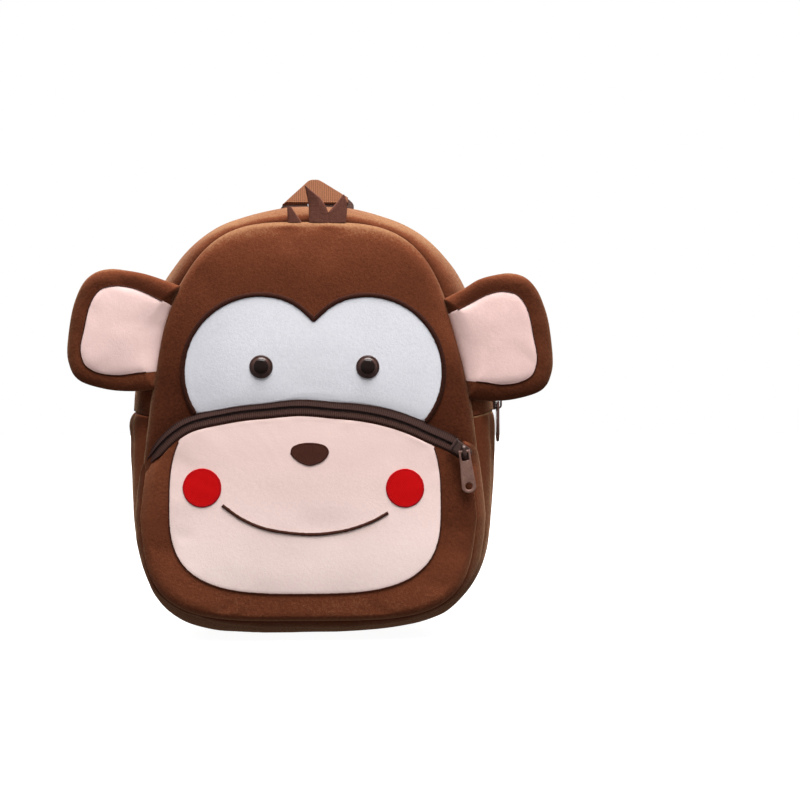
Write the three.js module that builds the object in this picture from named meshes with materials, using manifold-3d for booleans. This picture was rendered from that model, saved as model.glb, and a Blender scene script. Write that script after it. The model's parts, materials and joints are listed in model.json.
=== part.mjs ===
// Plush animal backpack: a puffed face with an arched front pocket, soft ears, a felt tuft, a webbing
// grab handle, two padded shoulder straps with ladder-lock buckles and a long zipper over the top.
// Millimetres, +Z up, the face looks along -Y, and the origin is the middle of the flat base.
import * as THREE from "three";
import Module from "manifold-3d";

// Sizes of the cloth
const WALL = 2;
const GAP = 0.3;
const SEAM_Y = 40;
const CENTRE = [0, 100];

// Outlines in the XZ plane: half width, height of the widest line, top, bottom, squareness and taper
const FRONT = {
  half: 96, widest: 70, top: 232, bottom: 7, shift: 0,
  nTop: 4, nBottom: 2.8, taperTop: 0.17, taperBottom: 0,
};
const BELLY = {
  half: 105.5, widest: 105, top: 245.5, bottom: -2, shift: 0,
  nTop: 2.6, nBottom: 4, taperTop: 0.02, taperBottom: 0.05,
};
const BACK = {
  half: 98, widest: 100, top: 238, bottom: 5, shift: 0,
  nTop: 2.7, nBottom: 4, taperTop: 0.03, taperBottom: 0.05,
};
const POCKET = {
  half: 92.6, widest: 68, top: 232, bottom: 11.3, shift: -1.5,
  nTop: 4, nBottom: 4, taperTop: 0.17, taperBottom: 0.07,
};

// Front face: depth of the rolled edge and crown of the middle
const FACE = { roll: 7, crown: 3, rollStart: 0.9 };
// Front pocket: depth of its rim, puff of its middle, and the arch of its zipper
const POUCH = { rimY: 52, puff: 9, rollStart: 0.86, rise: 60, centre: [-1.5, 60] };
const ARCH = {
  peak: 128.4, centre: -6.5, half: 85, drop: 22.2, power: 2.7, left: -89, right: 86,
  straight: 62, rise: 2,
};
// Distances across the pocket zipper, up from the middle of its teeth
const ZIP = {
  coil: 0.6, tape: 0.9, upper: 4.4, lower: -4.5, pocketEdge: -4.9,
  thick: 1, coilRise: 1, deepest: -47,
};
// Main zipper: angle of its ends, half widths and recess
const MAIN_ZIP = { end: 14.5, band: 4, tape: 3.6, coil: 1.3, recess: 1.2, rise: 0.9, depth: 2.6 };

const EYE_PATCH = { centre: [0.6, 150], spread: 28.8, height: 148.2, radius: 42, lift: 0.5, thick: 1 };
const EYE = { centre: 1.35, spread: 29.3, height: 151, radius: 6.45, rise: 3.6 };
const MUZZLE = {
  centre: [-3.9, 72], half: 75.6, widest: 77, bottom: 26.2, power: 3, topHalf: 71, lift: 0.5, thick: 1,
};
const STITCH = { lift: 1.8, thick: 0.9 };
const CHEEK = { left: -60.3, right: 50.7, height: 84.6, radius: 10.6 };
const NOSE = [
  [-11.8, 102.3], [-11, 105.4], [-7, 107.4], [-1.5, 108], [4.5, 107.4], [8, 105.8],
  [9.2, 102.8], [7, 99.3], [3, 97], [-1.3, 96], [-5.5, 97.2], [-9, 99.4],
];
const MOUTH = {
  half: 0.8,
  points: [[-48.8, 75.3], [-37.6, 67.6], [-23, 62], [-1.1, 59.4], [17, 61.2], [31.7, 65.8], [41.6, 71]],
};

// Ears: outline and lining from the upper root round to the lower root, outward from the middle
const EAR = {
  outline: [
    [76.3, 189], [83.9, 194.6], [93, 200.2], [102.5, 203], [111.4, 204.1], [119.8, 201.9],
    [126.4, 195.2], [130.9, 185.1], [133.7, 174], [135.6, 155.6], [134.2, 146.2], [130.9, 140],
    [124.5, 136.1], [110.8, 132.8], [96.9, 132.2], [88, 133.3],
  ],
  lining: [
    [78.5, 180.7], [87.4, 186.3], [96.9, 191.3], [105.8, 193.5], [113.6, 192.1], [118.1, 187.9],
    [121.4, 180.7], [123.7, 169.5], [125.9, 157.3], [124.8, 150.1], [122, 145.6], [115.3, 142.3],
    [105.8, 141.1], [96.9, 142.3], [86.9, 143.4],
  ],
  centre: [106, 167], rootY: -41.8, slant: 0.1, edge: 1, puff: 5.5, soft: 14,
  rootSpace: 0.6, rootDepth: 1.4, lift: 0.6, thick: 1, leftRise: 4,
};
const TUFT = {
  y: -42.6, thick: 1.8,
  outline: [
    [-14, 232.5], [-14, 240], [-7.3, 232.9], [-2.6, 234], [-5.2, 251.8], [6.5, 240], [10, 237],
    [17.8, 247.3], [18.6, 232.5],
  ],
};

// Grab handle: height along the webbing, lean to the back, and half outline of the folded loop
const HANDLE = {
  centre: 2.4, base: [41.15, 237.6], lean: 28, thick: 2.2,
  outer: [[22.4, 0], [22.5, 15], [4.5, 33.5]],
  inner: [[5.4, 20], [1.6, 0]],
};

// Shoulder straps down the back: height, distance from the seam plane, offset, half width, thickness
const STRAP_ROWS = [
  { z: 235, y: 46.2, x: 26, half: 24.8, thick: 3.4 },
  { z: 228, y: 47.6, x: 26.2, half: 25.2, thick: 6.5 },
  { z: 214, y: 50.2, x: 27.2, half: 25.2, thick: 8.5 },
  { z: 192, y: 53.5, x: 29, half: 25, thick: 9 },
  { z: 165, y: 56, x: 31.4, half: 24.7, thick: 9 },
  { z: 135, y: 56.6, x: 34, half: 24.3, thick: 9 },
  { z: 105, y: 55.6, x: 36.6, half: 24, thick: 9 },
  { z: 78, y: 53.4, x: 39, half: 23.6, thick: 9 },
  { z: 58, y: 51.8, x: 40.6, half: 23.2, thick: 8.6 },
  { z: 49, y: 51.2, x: 41.3, half: 22.4, thick: 7 },
  { z: 45, y: 50.8, x: 41.5, half: 19.5, thick: 4 },
];
const STRAP_TOP = { below: 2.4, space: 0.35 };
const WEB = { half: 12.5, thick: 1.4, x: 41.5 };
const WEB_UPPER = [
  [46.6, 52], [45.8, 45], [44.9, 39], [45.2, 35.2], [47.6, 34.2], [49.1, 32.8], [49.1, 30.8],
  [47.6, 29.4], [45.4, 28.6],
];
const WEB_LOWER = [
  [45.4, 24], [47.6, 23.2], [49.1, 21.8], [49.1, 19.8], [47.6, 18.4], [45.4, 17], [45.1, 13],
  [44.5, 9.6], [43.2, 6.6],
];
const BUCKLE = {
  y: 46.4, depth: 3.6, top: 40, half: 17, lowHalf: 15.6, shoulder: 14, tip: 2.5, tipHalf: 5,
  windowHalf: 13.2, windows: [[27.6, 36], [16, 25]],
};

// Sliders and pull tabs
const SLIDER = {
  length: 11, width: 6.8, nose: 4.4, back: 1.5, body: 2.2, top: 6.1,
  bridgeHalf: 3.9, bridgeWidth: 2, bridgeHole: 2.6, holeLow: 2.2, holeHigh: 5,
};
const PULL = {
  bar: 0.75, barHalf: 3.2, arm: 1.2, slotEnd: 5, length: 23, neck: 3.3, endRadius: 4.2, hole: 2,
  thick: 1.5, axis: 3.6,
};
const POCKET_SLIDER = { x: 83.6, tilt: 7.5, teeth: -36 };
const MAIN_SLIDER = { height: 131.5 };

const COLOURS = {
  plush: 0x6e402c, white: 0xdcdde2, pink: 0xe8cfc9, red: 0xbe1416, dark: 0x4b2920, tape: 0x4e3936,
  coil: 0x3a2622, metal: 0x7b5a50, felt: 0x67473e, webbing: 0x6d4232, strap: 0xd09a4c,
  plastic: 0x403029, eye: 0x2a1712,
};

const wasm = await Module();
wasm.setup();
const backpack = new THREE.Group();

// Helpers
const clamp01 = (t) => Math.min(1, Math.max(0, t));
const smooth = (t) => clamp01(t) ** 2 * (3 - 2 * clamp01(t));
const mix = (a, b, t) => a + (b - a) * t;
const radians = THREE.MathUtils.degToRad;
const range = (n) => Array.from({ length: n }, (_, i) => i);

function addMesh(name, geometry, colour, roughness = 0.9) {
  const material = new THREE.MeshStandardMaterial({ color: colour, roughness });
  const mesh = new THREE.Mesh(geometry, material);
  mesh.name = name;
  backpack.add(mesh);
  return mesh;
}

// Turns a closed surface the right way round and makes it a geometry.
function closedGeometry(points, triangles) {
  const volume = triangles.reduce((sum, [a, b, c]) => {
    const cross = new THREE.Vector3().crossVectors(points[b], points[c]);
    return sum + points[a].dot(cross);
  }, 0);
  const turned = volume < 0 ? triangles.map(([a, b, c]) => [a, c, b]) : triangles;
  const geometry = new THREE.BufferGeometry();
  const flat = points.flatMap((p) => p.toArray());
  geometry.setAttribute("position", new THREE.Float32BufferAttribute(flat, 3));
  geometry.setIndex(turned.flat());
  geometry.computeVertexNormals();
  return geometry;
}

// A solid between two grids of points.
// Rows may close on themselves, and column 0 may be one shared point.
function shell(outer, inner, { closed = false, fan = false } = {}) {
  const rows = outer.length;
  const columns = outer[0].length;
  const points = [];
  const ids = [outer, inner].map((grid) => {
    const first = fan ? points.push(grid[0][0]) - 1 : -1;
    return grid.map((row) => row.map((p, j) => (fan && j === 0 ? first : points.push(p) - 1)));
  });
  const triangles = [];
  const quad = (a, b, c, d) => {
    if (a !== b) triangles.push([a, b, c]);
    if (c !== d) triangles.push([a, c, d]);
  };
  const last = closed ? rows : rows - 1;
  for (const i of range(last)) {
    const k = (i + 1) % rows;
    for (const j of range(columns - 1)) {
      quad(ids[0][i][j], ids[0][k][j], ids[0][k][j + 1], ids[0][i][j + 1]);
      quad(ids[1][i][j + 1], ids[1][k][j + 1], ids[1][k][j], ids[1][i][j]);
    }
    quad(ids[0][i][columns - 1], ids[0][k][columns - 1], ids[1][k][columns - 1], ids[1][i][columns - 1]);
    if (!fan) quad(ids[1][i][0], ids[1][k][0], ids[0][k][0], ids[0][i][0]);
  }
  if (!closed) {
    for (const j of range(columns - 1)) {
      quad(ids[0][0][j], ids[0][0][j + 1], ids[1][0][j + 1], ids[1][0][j]);
      quad(ids[1][rows - 1][j], ids[1][rows - 1][j + 1], ids[0][rows - 1][j + 1], ids[0][rows - 1][j]);
    }
  }
  return closedGeometry(points, triangles);
}

// The grid moved inward by a thickness along its own normals.
function inset(grid, thick, outward, { closed = false, fan = false } = {}) {
  const rows = grid.length;
  const at = (i) => (closed ? (i + rows) % rows : Math.min(rows - 1, Math.max(0, i)));
  return grid.map((row, i) =>
    row.map((p, j) => {
      const away = outward(p);
      const along = grid[at(i + 1)][j].clone().sub(grid[at(i - 1)][j]);
      const across = row[Math.min(j + 1, row.length - 1)].clone().sub(row[Math.max(j - 1, 0)]);
      const normal = fan && j === 0 ? away.clone() : along.cross(across).normalize();
      if (normal.dot(away) < 0) normal.negate();
      return p.clone().addScaledVector(normal, -thick);
    }),
  );
}

// Level of a point in an outline: 1 on the line, less inside.
function level(o, x, z) {
  const rise = z - o.widest;
  const upper = rise >= 0;
  const t = Math.abs(rise) / (upper ? o.top - o.widest : o.widest - o.bottom);
  const n = upper ? o.nTop : o.nBottom;
  const taper = (upper ? o.taperTop : o.taperBottom) * Math.min(t, 1.3);
  return ((Math.abs(x - o.shift) / (o.half * (1 - taper))) ** n + t ** n) ** (1 / n);
}

// How far a shape reaches from a centre at an angle.
function reach(inside, centre, angle) {
  let near = 0;
  let far = 260;
  for (const _ of range(36)) {
    const middle = (near + far) / 2;
    const x = centre[0] + middle * Math.cos(angle);
    const z = centre[1] + middle * Math.sin(angle);
    if (inside(x, z)) near = middle;
    else far = middle;
  }
  return near;
}
const within = (o) => (x, z) => level(o, x, z) < 1;
const radiusOf = (o, angle) => reach(within(o), CENTRE, angle);

function insidePolygon(polygon) {
  return (x, z) => {
    let odd = false;
    polygon.forEach(([ax, az], i) => {
      const [bx, bz] = polygon[(i + 1) % polygon.length];
      if (az > z !== bz > z && x < ((bx - ax) * (z - az)) / (bz - az) + ax) odd = !odd;
    });
    return odd;
  };
}

// Rolled edge of a padded panel: 1 over the middle, 0 on its seam.
function rolled(share, start) {
  const t = clamp01((share - start) / (1 - start));
  return Math.sqrt(1 - t ** 2);
}

// Curve of the pocket zipper and a point beside it.
function archHeight(x) {
  const bow = ARCH.drop * (Math.abs(x - ARCH.centre) / ARCH.half) ** ARCH.power;
  const rise = ARCH.rise * (Math.max(0, x - ARCH.straight) / 22) ** 2;
  return ARCH.peak - bow + rise;
}
function besideArch(x, q) {
  const tangent = new THREE.Vector2(2, archHeight(x + 1) - archHeight(x - 1)).normalize();
  return [x - q * tangent.y, archHeight(x) + q * tangent.x];
}
function acrossArch(x, z) {
  const slope = (archHeight(x + 1) - archHeight(x - 1)) / 2;
  return (z - archHeight(x)) / Math.hypot(1, slope);
}

// Outer surfaces of the face and of the pocket, as depth at a point
function faceY(x, z) {
  const share = Math.min(1, level(FRONT, x, z));
  return -(SEAM_Y + FACE.roll * rolled(share, FACE.rollStart) + FACE.crown * (1 - share ** 2));
}
function pocketY(x, z) {
  const share = Math.min(1, level(POCKET, x, z));
  const below = clamp01((ZIP.pocketEdge - acrossArch(x, z)) / POUCH.rise);
  const puff = rolled(share, POUCH.rollStart) * Math.sin((below * Math.PI) / 2);
  return -(POUCH.rimY + POUCH.puff * puff);
}

// A round grid of XZ points that fills a shape, from its centre out.
function polarGrid(inside, centre, steps, shares) {
  return range(steps).map((i) => {
    const angle = ((i + 0.5) / steps) * 2 * Math.PI;
    const far = reach(inside, centre, angle);
    const [dx, dz] = [far * Math.cos(angle), far * Math.sin(angle)];
    return shares.map((s) => [centre[0] + s * dx, centre[1] + s * dz]);
  });
}
function raise(grid, depth) {
  return grid.map((row) => row.map(([x, z]) => new THREE.Vector3(x, depth(x, z), z)));
}

// A thin piece laid on a surface.
function applique(name, inside, { centre, lift, thick }, surface, steps, shares, colour) {
  const grid = polarGrid(inside, centre, steps, shares);
  const outer = raise(grid, (x, z) => surface(x, z) - lift - thick);
  const inner = raise(grid, (x, z) => surface(x, z) - lift);
  addMesh(name, shell(outer, inner, { closed: true, fan: true }), colour);
}

// Padded panel that ends on a seam plane.
function panel(name, grid, depth, seamSide, colour) {
  const options = { closed: true, fan: true };
  const outer = raise(grid, depth);
  const sign = Math.sign(seamSide);
  const away = new THREE.Vector3(0, sign, 0);
  const inner = inset(outer, WALL, () => away, options);
  for (const row of inner) {
    for (const p of row) p.y = sign * Math.max(sign * p.y, sign * seamSide);
  }
  addMesh(name, shell(outer, inner, options), colour);
}

// Body of the bag
function gussetPoint(angle, share, deeper = 0) {
  const bulge = (1 - Math.abs(2 * share - 1) ** 3) ** (1 / 3);
  const straight = mix(radiusOf(FRONT, angle), radiusOf(BACK, angle), share);
  const radius = mix(straight, radiusOf(BELLY, angle), bulge) - deeper;
  const y = mix(-SEAM_Y + GAP, SEAM_Y - GAP, share);
  const z = Math.max(deeper, CENTRE[1] + radius * Math.sin(angle));
  return new THREE.Vector3(radius * Math.cos(angle), y, z);
}
const fromCentre = (p) => new THREE.Vector3(p.x, 0, p.z - CENTRE[1]).normalize();
function gusset(name, from, to, steps, shares) {
  const outer = range(steps + 1).map((i) => {
    const angle = radians(mix(from, to, i / steps));
    return shares.map((s) => gussetPoint(angle, s));
  });
  const inner = inset(outer, WALL, fromCentre);
  for (const row of inner) {
    for (const p of row) p.y = Math.min(SEAM_Y - GAP, Math.max(-SEAM_Y + GAP, p.y));
  }
  addMesh(name, shell(outer, inner), COLOURS.plush);
}
const shareOfY = (y) => (y + SEAM_Y - GAP) / (2 * (SEAM_Y - GAP));
const lowShares = [0, 0.03, 0.1, 0.25, 0.5, 0.75, 0.9, 0.97, 1];
const frontShares = [0, 0.03, 0.1, 0.25, shareOfY(-MAIN_ZIP.band)];
const backShares = frontShares.map((s) => 1 - s).reverse();
gusset("gusset_lower", MAIN_ZIP.end - 0.15, -180 - MAIN_ZIP.end + 0.15, 32, lowShares);
gusset("gusset_front", MAIN_ZIP.end + 0.15, 180 - MAIN_ZIP.end - 0.15, 24, frontShares);
gusset("gusset_back", MAIN_ZIP.end + 0.15, 180 - MAIN_ZIP.end - 0.15, 24, backShares);

const faceShares = [0, 0.4, 0.7, 0.9, 0.95, 0.985, 1];
panel("front_panel", polarGrid(within(FRONT), CENTRE, 40, faceShares), faceY, -SEAM_Y, COLOURS.plush);
const backY = (x, z) => SEAM_Y + 3.2 * rolled(Math.min(1, level(BACK, x, z)), 0.9);
const backGrid = polarGrid(within(BACK), CENTRE, 36, [0, 0.5, 0.9, 0.95, 0.985, 1]);
panel("back_panel", backGrid, backY, SEAM_Y, COLOURS.plush);

// Main zipper: tape with raised teeth between the two top bands
const zipColumns = [
  { y: -MAIN_ZIP.tape, rise: 0 },
  { y: -MAIN_ZIP.coil - 0.2, rise: 0 },
  { y: -MAIN_ZIP.coil + 0.3, rise: MAIN_ZIP.rise },
  { y: MAIN_ZIP.coil - 0.3, rise: MAIN_ZIP.rise },
  { y: MAIN_ZIP.coil + 0.2, rise: 0 },
  { y: MAIN_ZIP.tape, rise: 0 },
];
const zipEnd = MAIN_ZIP.end + 0.15;
const zipAngles = range(25).map((i) => radians(mix(zipEnd, 180 - zipEnd, i / 24)));
function zipGrid(depth) {
  return zipAngles.map((a) => zipColumns.map((c) => gussetPoint(a, shareOfY(c.y), depth(c))));
}
const zipTop = zipGrid((c) => MAIN_ZIP.recess - c.rise);
addMesh("main_zip", shell(zipTop, zipGrid(() => MAIN_ZIP.depth)), COLOURS.tape);

// Front pocket
const inPocket = (x, z) => level(POCKET, x, z) < 1 && acrossArch(x, z) < ZIP.pocketEdge;
const pocketShares = [0, 0.4, 0.7, 0.86, 0.94, 0.98, 1];
const pocketGrid = polarGrid(inPocket, POUCH.centre, 40, pocketShares);
panel("pocket_panel", pocketGrid, pocketY, -POUCH.rimY + WALL, COLOURS.plush);

const bandAngles = range(31).map((i) => radians(mix(0.2, -180.2, i / 30)));
const bandGrid = bandAngles.map((angle) =>
  [0, 0.33, 0.67, 1].map((s) => {
    const bulge = 1.6 * Math.sin(Math.PI * s);
    const radius = mix(radiusOf(FRONT, angle) + WALL + GAP, radiusOf(POCKET, angle) + 0.4, s) + bulge;
    const y = mix(-SEAM_Y - 1.5, -POUCH.rimY + WALL + GAP, s);
    return new THREE.Vector3(radius * Math.cos(angle), y, CENTRE[1] + radius * Math.sin(angle));
  }),
);
const bandInner = inset(bandGrid, WALL, fromCentre);
for (const row of bandInner) {
  for (const p of row) p.y = Math.min(-SEAM_Y - 1.5, Math.max(-POUCH.rimY + WALL + GAP, p.y));
}
addMesh("pocket_band", shell(bandGrid, bandInner), COLOURS.plush);

// Pocket zipper
const archSteps = range(27).map((i) => mix(ARCH.left, ARCH.right, i / 26));
function zipStrip(name, offsets, depth, colour) {
  const grid = (thick) =>
    archSteps.map((x) =>
      offsets.map((q) => {
        const [px, pz] = besideArch(x, q);
        return new THREE.Vector3(px, depth(px, pz, q) + thick, pz);
      }),
    );
  addMesh(name, shell(grid(0), grid(ZIP.thick)), colour);
}
function upperTapeY(x, z, q) {
  const seat = Math.min(faceY(x, z) - 0.5, ZIP.deepest) - ZIP.thick;
  return mix(-POUCH.rimY, seat, smooth((q - ZIP.tape) / (ZIP.upper - ZIP.tape)));
}
zipStrip("pocket_tape_upper", [ZIP.tape, 2.6, ZIP.upper], upperTapeY, COLOURS.tape);
zipStrip("pocket_coil", [-ZIP.coil, ZIP.coil], () => -POUCH.rimY - ZIP.coilRise + 0.4, COLOURS.coil);
zipStrip("pocket_tape_lower", [ZIP.lower, -ZIP.tape], () => -POUCH.rimY, COLOURS.tape);

// Face
function inEyePatch(x, z) {
  const inLobe = (side) => {
    const across = x - EYE_PATCH.centre[0] - side * EYE_PATCH.spread;
    return Math.hypot(across, z - EYE_PATCH.height) < EYE_PATCH.radius;
  };
  return (inLobe(-1) || inLobe(1)) && acrossArch(x, z) > ZIP.upper + 0.7;
}
const eyeShares = [0, 0.4, 0.75, 1];
applique("eye_patch", inEyePatch, EYE_PATCH, faceY, 52, eyeShares, COLOURS.white);

for (const [name, side] of [["eye_left", -1], ["eye_right", 1]]) {
  const x = EYE.centre + side * EYE.spread;
  const profile = range(6).map((i) => {
    const turn = (i / 5) * (Math.PI / 2);
    return new THREE.Vector2(EYE.radius * Math.cos(turn), 0.6 + (EYE.rise - 0.6) * Math.sin(turn));
  });
  profile[5].x = 0;
  const foot = [new THREE.Vector2(0, 0), new THREE.Vector2(EYE.radius, 0)];
  const dome = new THREE.LatheGeometry([...foot, ...profile], 20);
  const mesh = addMesh(name, dome, COLOURS.eye, 0.2);
  mesh.rotation.x = Math.PI;
  const y = faceY(x, EYE.height) - EYE_PATCH.lift - EYE_PATCH.thick - GAP;
  mesh.position.set(x, y, EYE.height);
}

function inMuzzle(x, z) {
  const across = Math.abs(x - MUZZLE.centre[0]);
  if (acrossArch(x, z) > ZIP.pocketEdge - 0.4) return false;
  const rise = z - MUZZLE.widest;
  if (rise > 0) return across < mix(MUZZLE.half, MUZZLE.topHalf, (rise / 36) ** 2);
  const drop = -rise / (MUZZLE.widest - MUZZLE.bottom);
  return (across / MUZZLE.half) ** MUZZLE.power + drop ** MUZZLE.power < 1;
}
applique("muzzle_patch", inMuzzle, MUZZLE, pocketY, 40, [0, 0.35, 0.7, 1], COLOURS.pink);
const inCheek = (cx) => (x, z) => Math.hypot(x - cx, z - CHEEK.height) < CHEEK.radius;
for (const [name, cx] of [["cheek_left", CHEEK.left], ["cheek_right", CHEEK.right]]) {
  const disc = { ...STITCH, centre: [cx, CHEEK.height] };
  applique(name, inCheek(cx), disc, pocketY, 20, [0, 1], COLOURS.red);
}
const noseShape = { ...STITCH, centre: [-1.3, 102.6] };
applique("nose", insidePolygon(NOSE), noseShape, pocketY, 24, [0, 1], COLOURS.dark);

const mouthCurve = new THREE.SplineCurve(MOUTH.points.map(([x, z]) => new THREE.Vector2(x, z)));
const mouthGrid = (lift) =>
  range(25).map((i) => {
    const p = mouthCurve.getPoint(i / 24);
    const t = mouthCurve.getTangent(i / 24);
    return [-1, 1].map((side) => {
      const x = p.x - side * MOUTH.half * t.y;
      const z = p.y + side * MOUTH.half * t.x;
      return new THREE.Vector3(x, pocketY(x, z) - lift, z);
    });
  });
const mouth = shell(mouthGrid(STITCH.lift + STITCH.thick), mouthGrid(STITCH.lift));
addMesh("mouth", mouth, COLOURS.dark);

// Ears: puffed, with a flat root sewn beside the face seam
function rootX(z) {
  return reach((x) => level(FRONT, x, z) < 1, [0, 0], 0);
}
function rootedOutline(points, space, rise) {
  const shifted = points.map(([x, z]) => new THREE.Vector2(x, z + rise));
  shifted[0].x = rootX(shifted[0].y) + space;
  const end = shifted[shifted.length - 1];
  end.x = rootX(end.y) + space;
  const free = new THREE.SplineCurve(shifted).getPoints(60).map((p) => [p.x, p.y]);
  const root = range(7).map((i) => mix(end.y, shifted[0].y, (i + 1) / 8));
  return [...free, ...root.map((z) => [rootX(z) + space, z])];
}
function ear(suffix, side, rise) {
  const centre = [EAR.centre[0], EAR.centre[1] + rise];
  const outline = rootedOutline(EAR.outline, EAR.rootSpace, rise);
  const form = insidePolygon(rootedOutline(EAR.outline, EAR.rootSpace - EAR.rootDepth, rise));
  const puffAt = (x, z) => {
    const far = reach(form, centre, Math.atan2(z - centre[1], x - centre[0]));
    const edge = Math.max(0, far - Math.hypot(x - centre[0], z - centre[1]));
    return Math.sqrt(1 - (1 - clamp01(edge / EAR.soft)) ** 2);
  };
  const middleY = (x, z) => EAR.rootY + EAR.slant * Math.max(0, x - rootX(z));
  const frontY = (x, z) => middleY(x, z) - EAR.edge - EAR.puff * puffAt(x, z);
  const rearY = (x, z) => {
    const clear = smooth((x - rootX(z) - 4) / 20);
    return middleY(x, z) + EAR.edge + EAR.puff * puffAt(x, z) * clear;
  };
  const mirror = (grid) => grid.map((row) => row.map((p) => p.setX(side * p.x)));
  const grid = polarGrid(insidePolygon(outline), centre, 32, [0, 0.6, 0.82, 0.94, 1]);
  const options = { closed: true, fan: true };
  const front = mirror(raise(grid, frontY));
  const rear = mirror(raise(grid, rearY));
  addMesh("ear_" + suffix, shell(front, rear, options), COLOURS.plush);

  const lining = rootedOutline(EAR.lining, EAR.rootSpace + 0.2, rise);
  const patch = polarGrid(insidePolygon(lining), [102, 167 + rise], 28, [0, 0.6, 0.85, 1]);
  const top = raise(patch, (x, z) => frontY(x, z) - EAR.lift - EAR.thick);
  const under = raise(patch, (x, z) => frontY(x, z) - EAR.lift);
  addMesh("ear_lining_" + suffix, shell(mirror(top), mirror(under), options), COLOURS.pink);
}
ear("right", 1, 0);
ear("left", -1, EAR.leftRise);

// Flat pieces cut from an outline, with their thickness along +Y
function flatPiece(outline, thick, holes = []) {
  const shape = new THREE.Shape(outline.map(([x, z]) => new THREE.Vector2(x, z)));
  shape.holes = holes.map((hole) => new THREE.Path(hole.map(([x, z]) => new THREE.Vector2(x, z))));
  const geometry = new THREE.ExtrudeGeometry(shape, { depth: thick, bevelEnabled: false });
  geometry.rotateX(Math.PI / 2);
  return geometry.translate(0, thick, 0);
}
addMesh("hair_tuft", flatPiece(TUFT.outline, TUFT.thick).translate(0, TUFT.y, 0), COLOURS.felt);

const mirrored = (points) => points.map(([x, z]) => [-x, z]).reverse();
const { outer, inner } = HANDLE;
const loop = [...outer, ...mirrored(outer), ...mirrored(inner), ...inner];
const handle = flatPiece(loop, HANDLE.thick);
handle.rotateX(-radians(HANDLE.lean)).translate(HANDLE.centre, ...HANDLE.base);
addMesh("grab_handle", handle, COLOURS.webbing);

// Shoulder straps, webbing and buckles
function seamTop(x) {
  return BACK.widest + reach((_, z) => level(BACK, x, z) < 1, [0, BACK.widest], Math.PI / 2);
}
const strapColumns = [-1, -0.88, -0.55, 0, 0.55, 0.88, 1];
function strap(name, side) {
  const layer = (face) =>
    STRAP_ROWS.map((row) =>
      strapColumns.map((v) => {
        const thick = 0.7 + (row.thick / 2 - 0.7) * Math.sqrt(1 - Math.abs(v) ** 4);
        const x = side * row.x + v * row.half;
        const z = Math.min(row.z, seamTop(x) - STRAP_TOP.below);
        const y = row.z === STRAP_ROWS[0].z ? backY(x, z) + STRAP_TOP.space + thick : row.y;
        return new THREE.Vector3(x, y + face * thick, z);
      }),
    );
  addMesh(name, shell(layer(1), layer(-1)), COLOURS.strap);
}
function webbing(name, side, path) {
  const normals = path.map((_, i) => {
    const [ay, az] = path[Math.max(0, i - 1)];
    const [by, bz] = path[Math.min(path.length - 1, i + 1)];
    return new THREE.Vector2(-(bz - az), by - ay).normalize();
  });
  const layer = (face) =>
    path.map(([y, z], i) =>
      [-1, 1].map((v) => {
        const shift = face * (WEB.thick / 2);
        const n = normals[i];
        return new THREE.Vector3(side * WEB.x + v * WEB.half, y + shift * n.x, z + shift * n.y);
      }),
    );
  addMesh(name, shell(layer(1), layer(-1)), COLOURS.webbing);
}
function buckle(name, side) {
  const half = [
    [BUCKLE.tipHalf, BUCKLE.tip], [BUCKLE.lowHalf, BUCKLE.shoulder],
    [BUCKLE.half, BUCKLE.top - 1.5], [BUCKLE.half - 1.5, BUCKLE.top],
  ];
  const w = BUCKLE.windowHalf;
  const windows = BUCKLE.windows.map(([low, high]) => [[-w, low], [w, low], [w, high], [-w, high]]);
  const frame = flatPiece([...half, ...mirrored(half)], BUCKLE.depth, windows);
  addMesh(name, frame.translate(side * WEB.x, BUCKLE.y, 0), COLOURS.plastic, 0.4);
}
for (const [suffix, side] of [["left", -1], ["right", 1]]) {
  strap("strap_" + suffix, side);
  webbing("web_upper_" + suffix, side, WEB_UPPER);
  webbing("web_lower_" + suffix, side, WEB_LOWER);
  buckle("buckle_" + suffix, side);
}

// Sliders: body along +X, height along +Z, bridge over the bar of the pull
function manifoldOf(geometry) {
  const flat = geometry.index ? geometry : geometry.clone();
  const source = flat.getAttribute("position");
  const keys = new Map();
  const points = [];
  const order = flat.index ? Array.from(flat.index.array) : range(source.count);
  const triVerts = order.map((v) => {
    const p = [source.getX(v), source.getY(v), source.getZ(v)];
    const key = p.map((c) => Math.round(c * 1e4)).join();
    if (!keys.has(key)) {
      keys.set(key, points.length / 3);
      points.push(...p);
    }
    return keys.get(key);
  });
  const mesh = new wasm.Mesh({
    numProp: 3, vertProperties: new Float32Array(points), triVerts: new Uint32Array(triVerts),
  });
  return new wasm.Manifold(mesh);
}
function joined(parts) {
  const mesh = wasm.Manifold.union(parts.map(manifoldOf)).getMesh();
  const geometry = new THREE.BufferGeometry();
  geometry.setAttribute("position", new THREE.BufferAttribute(mesh.vertProperties, 3));
  geometry.setIndex(new THREE.BufferAttribute(mesh.triVerts, 1));
  geometry.computeVertexNormals();
  return geometry;
}
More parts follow.
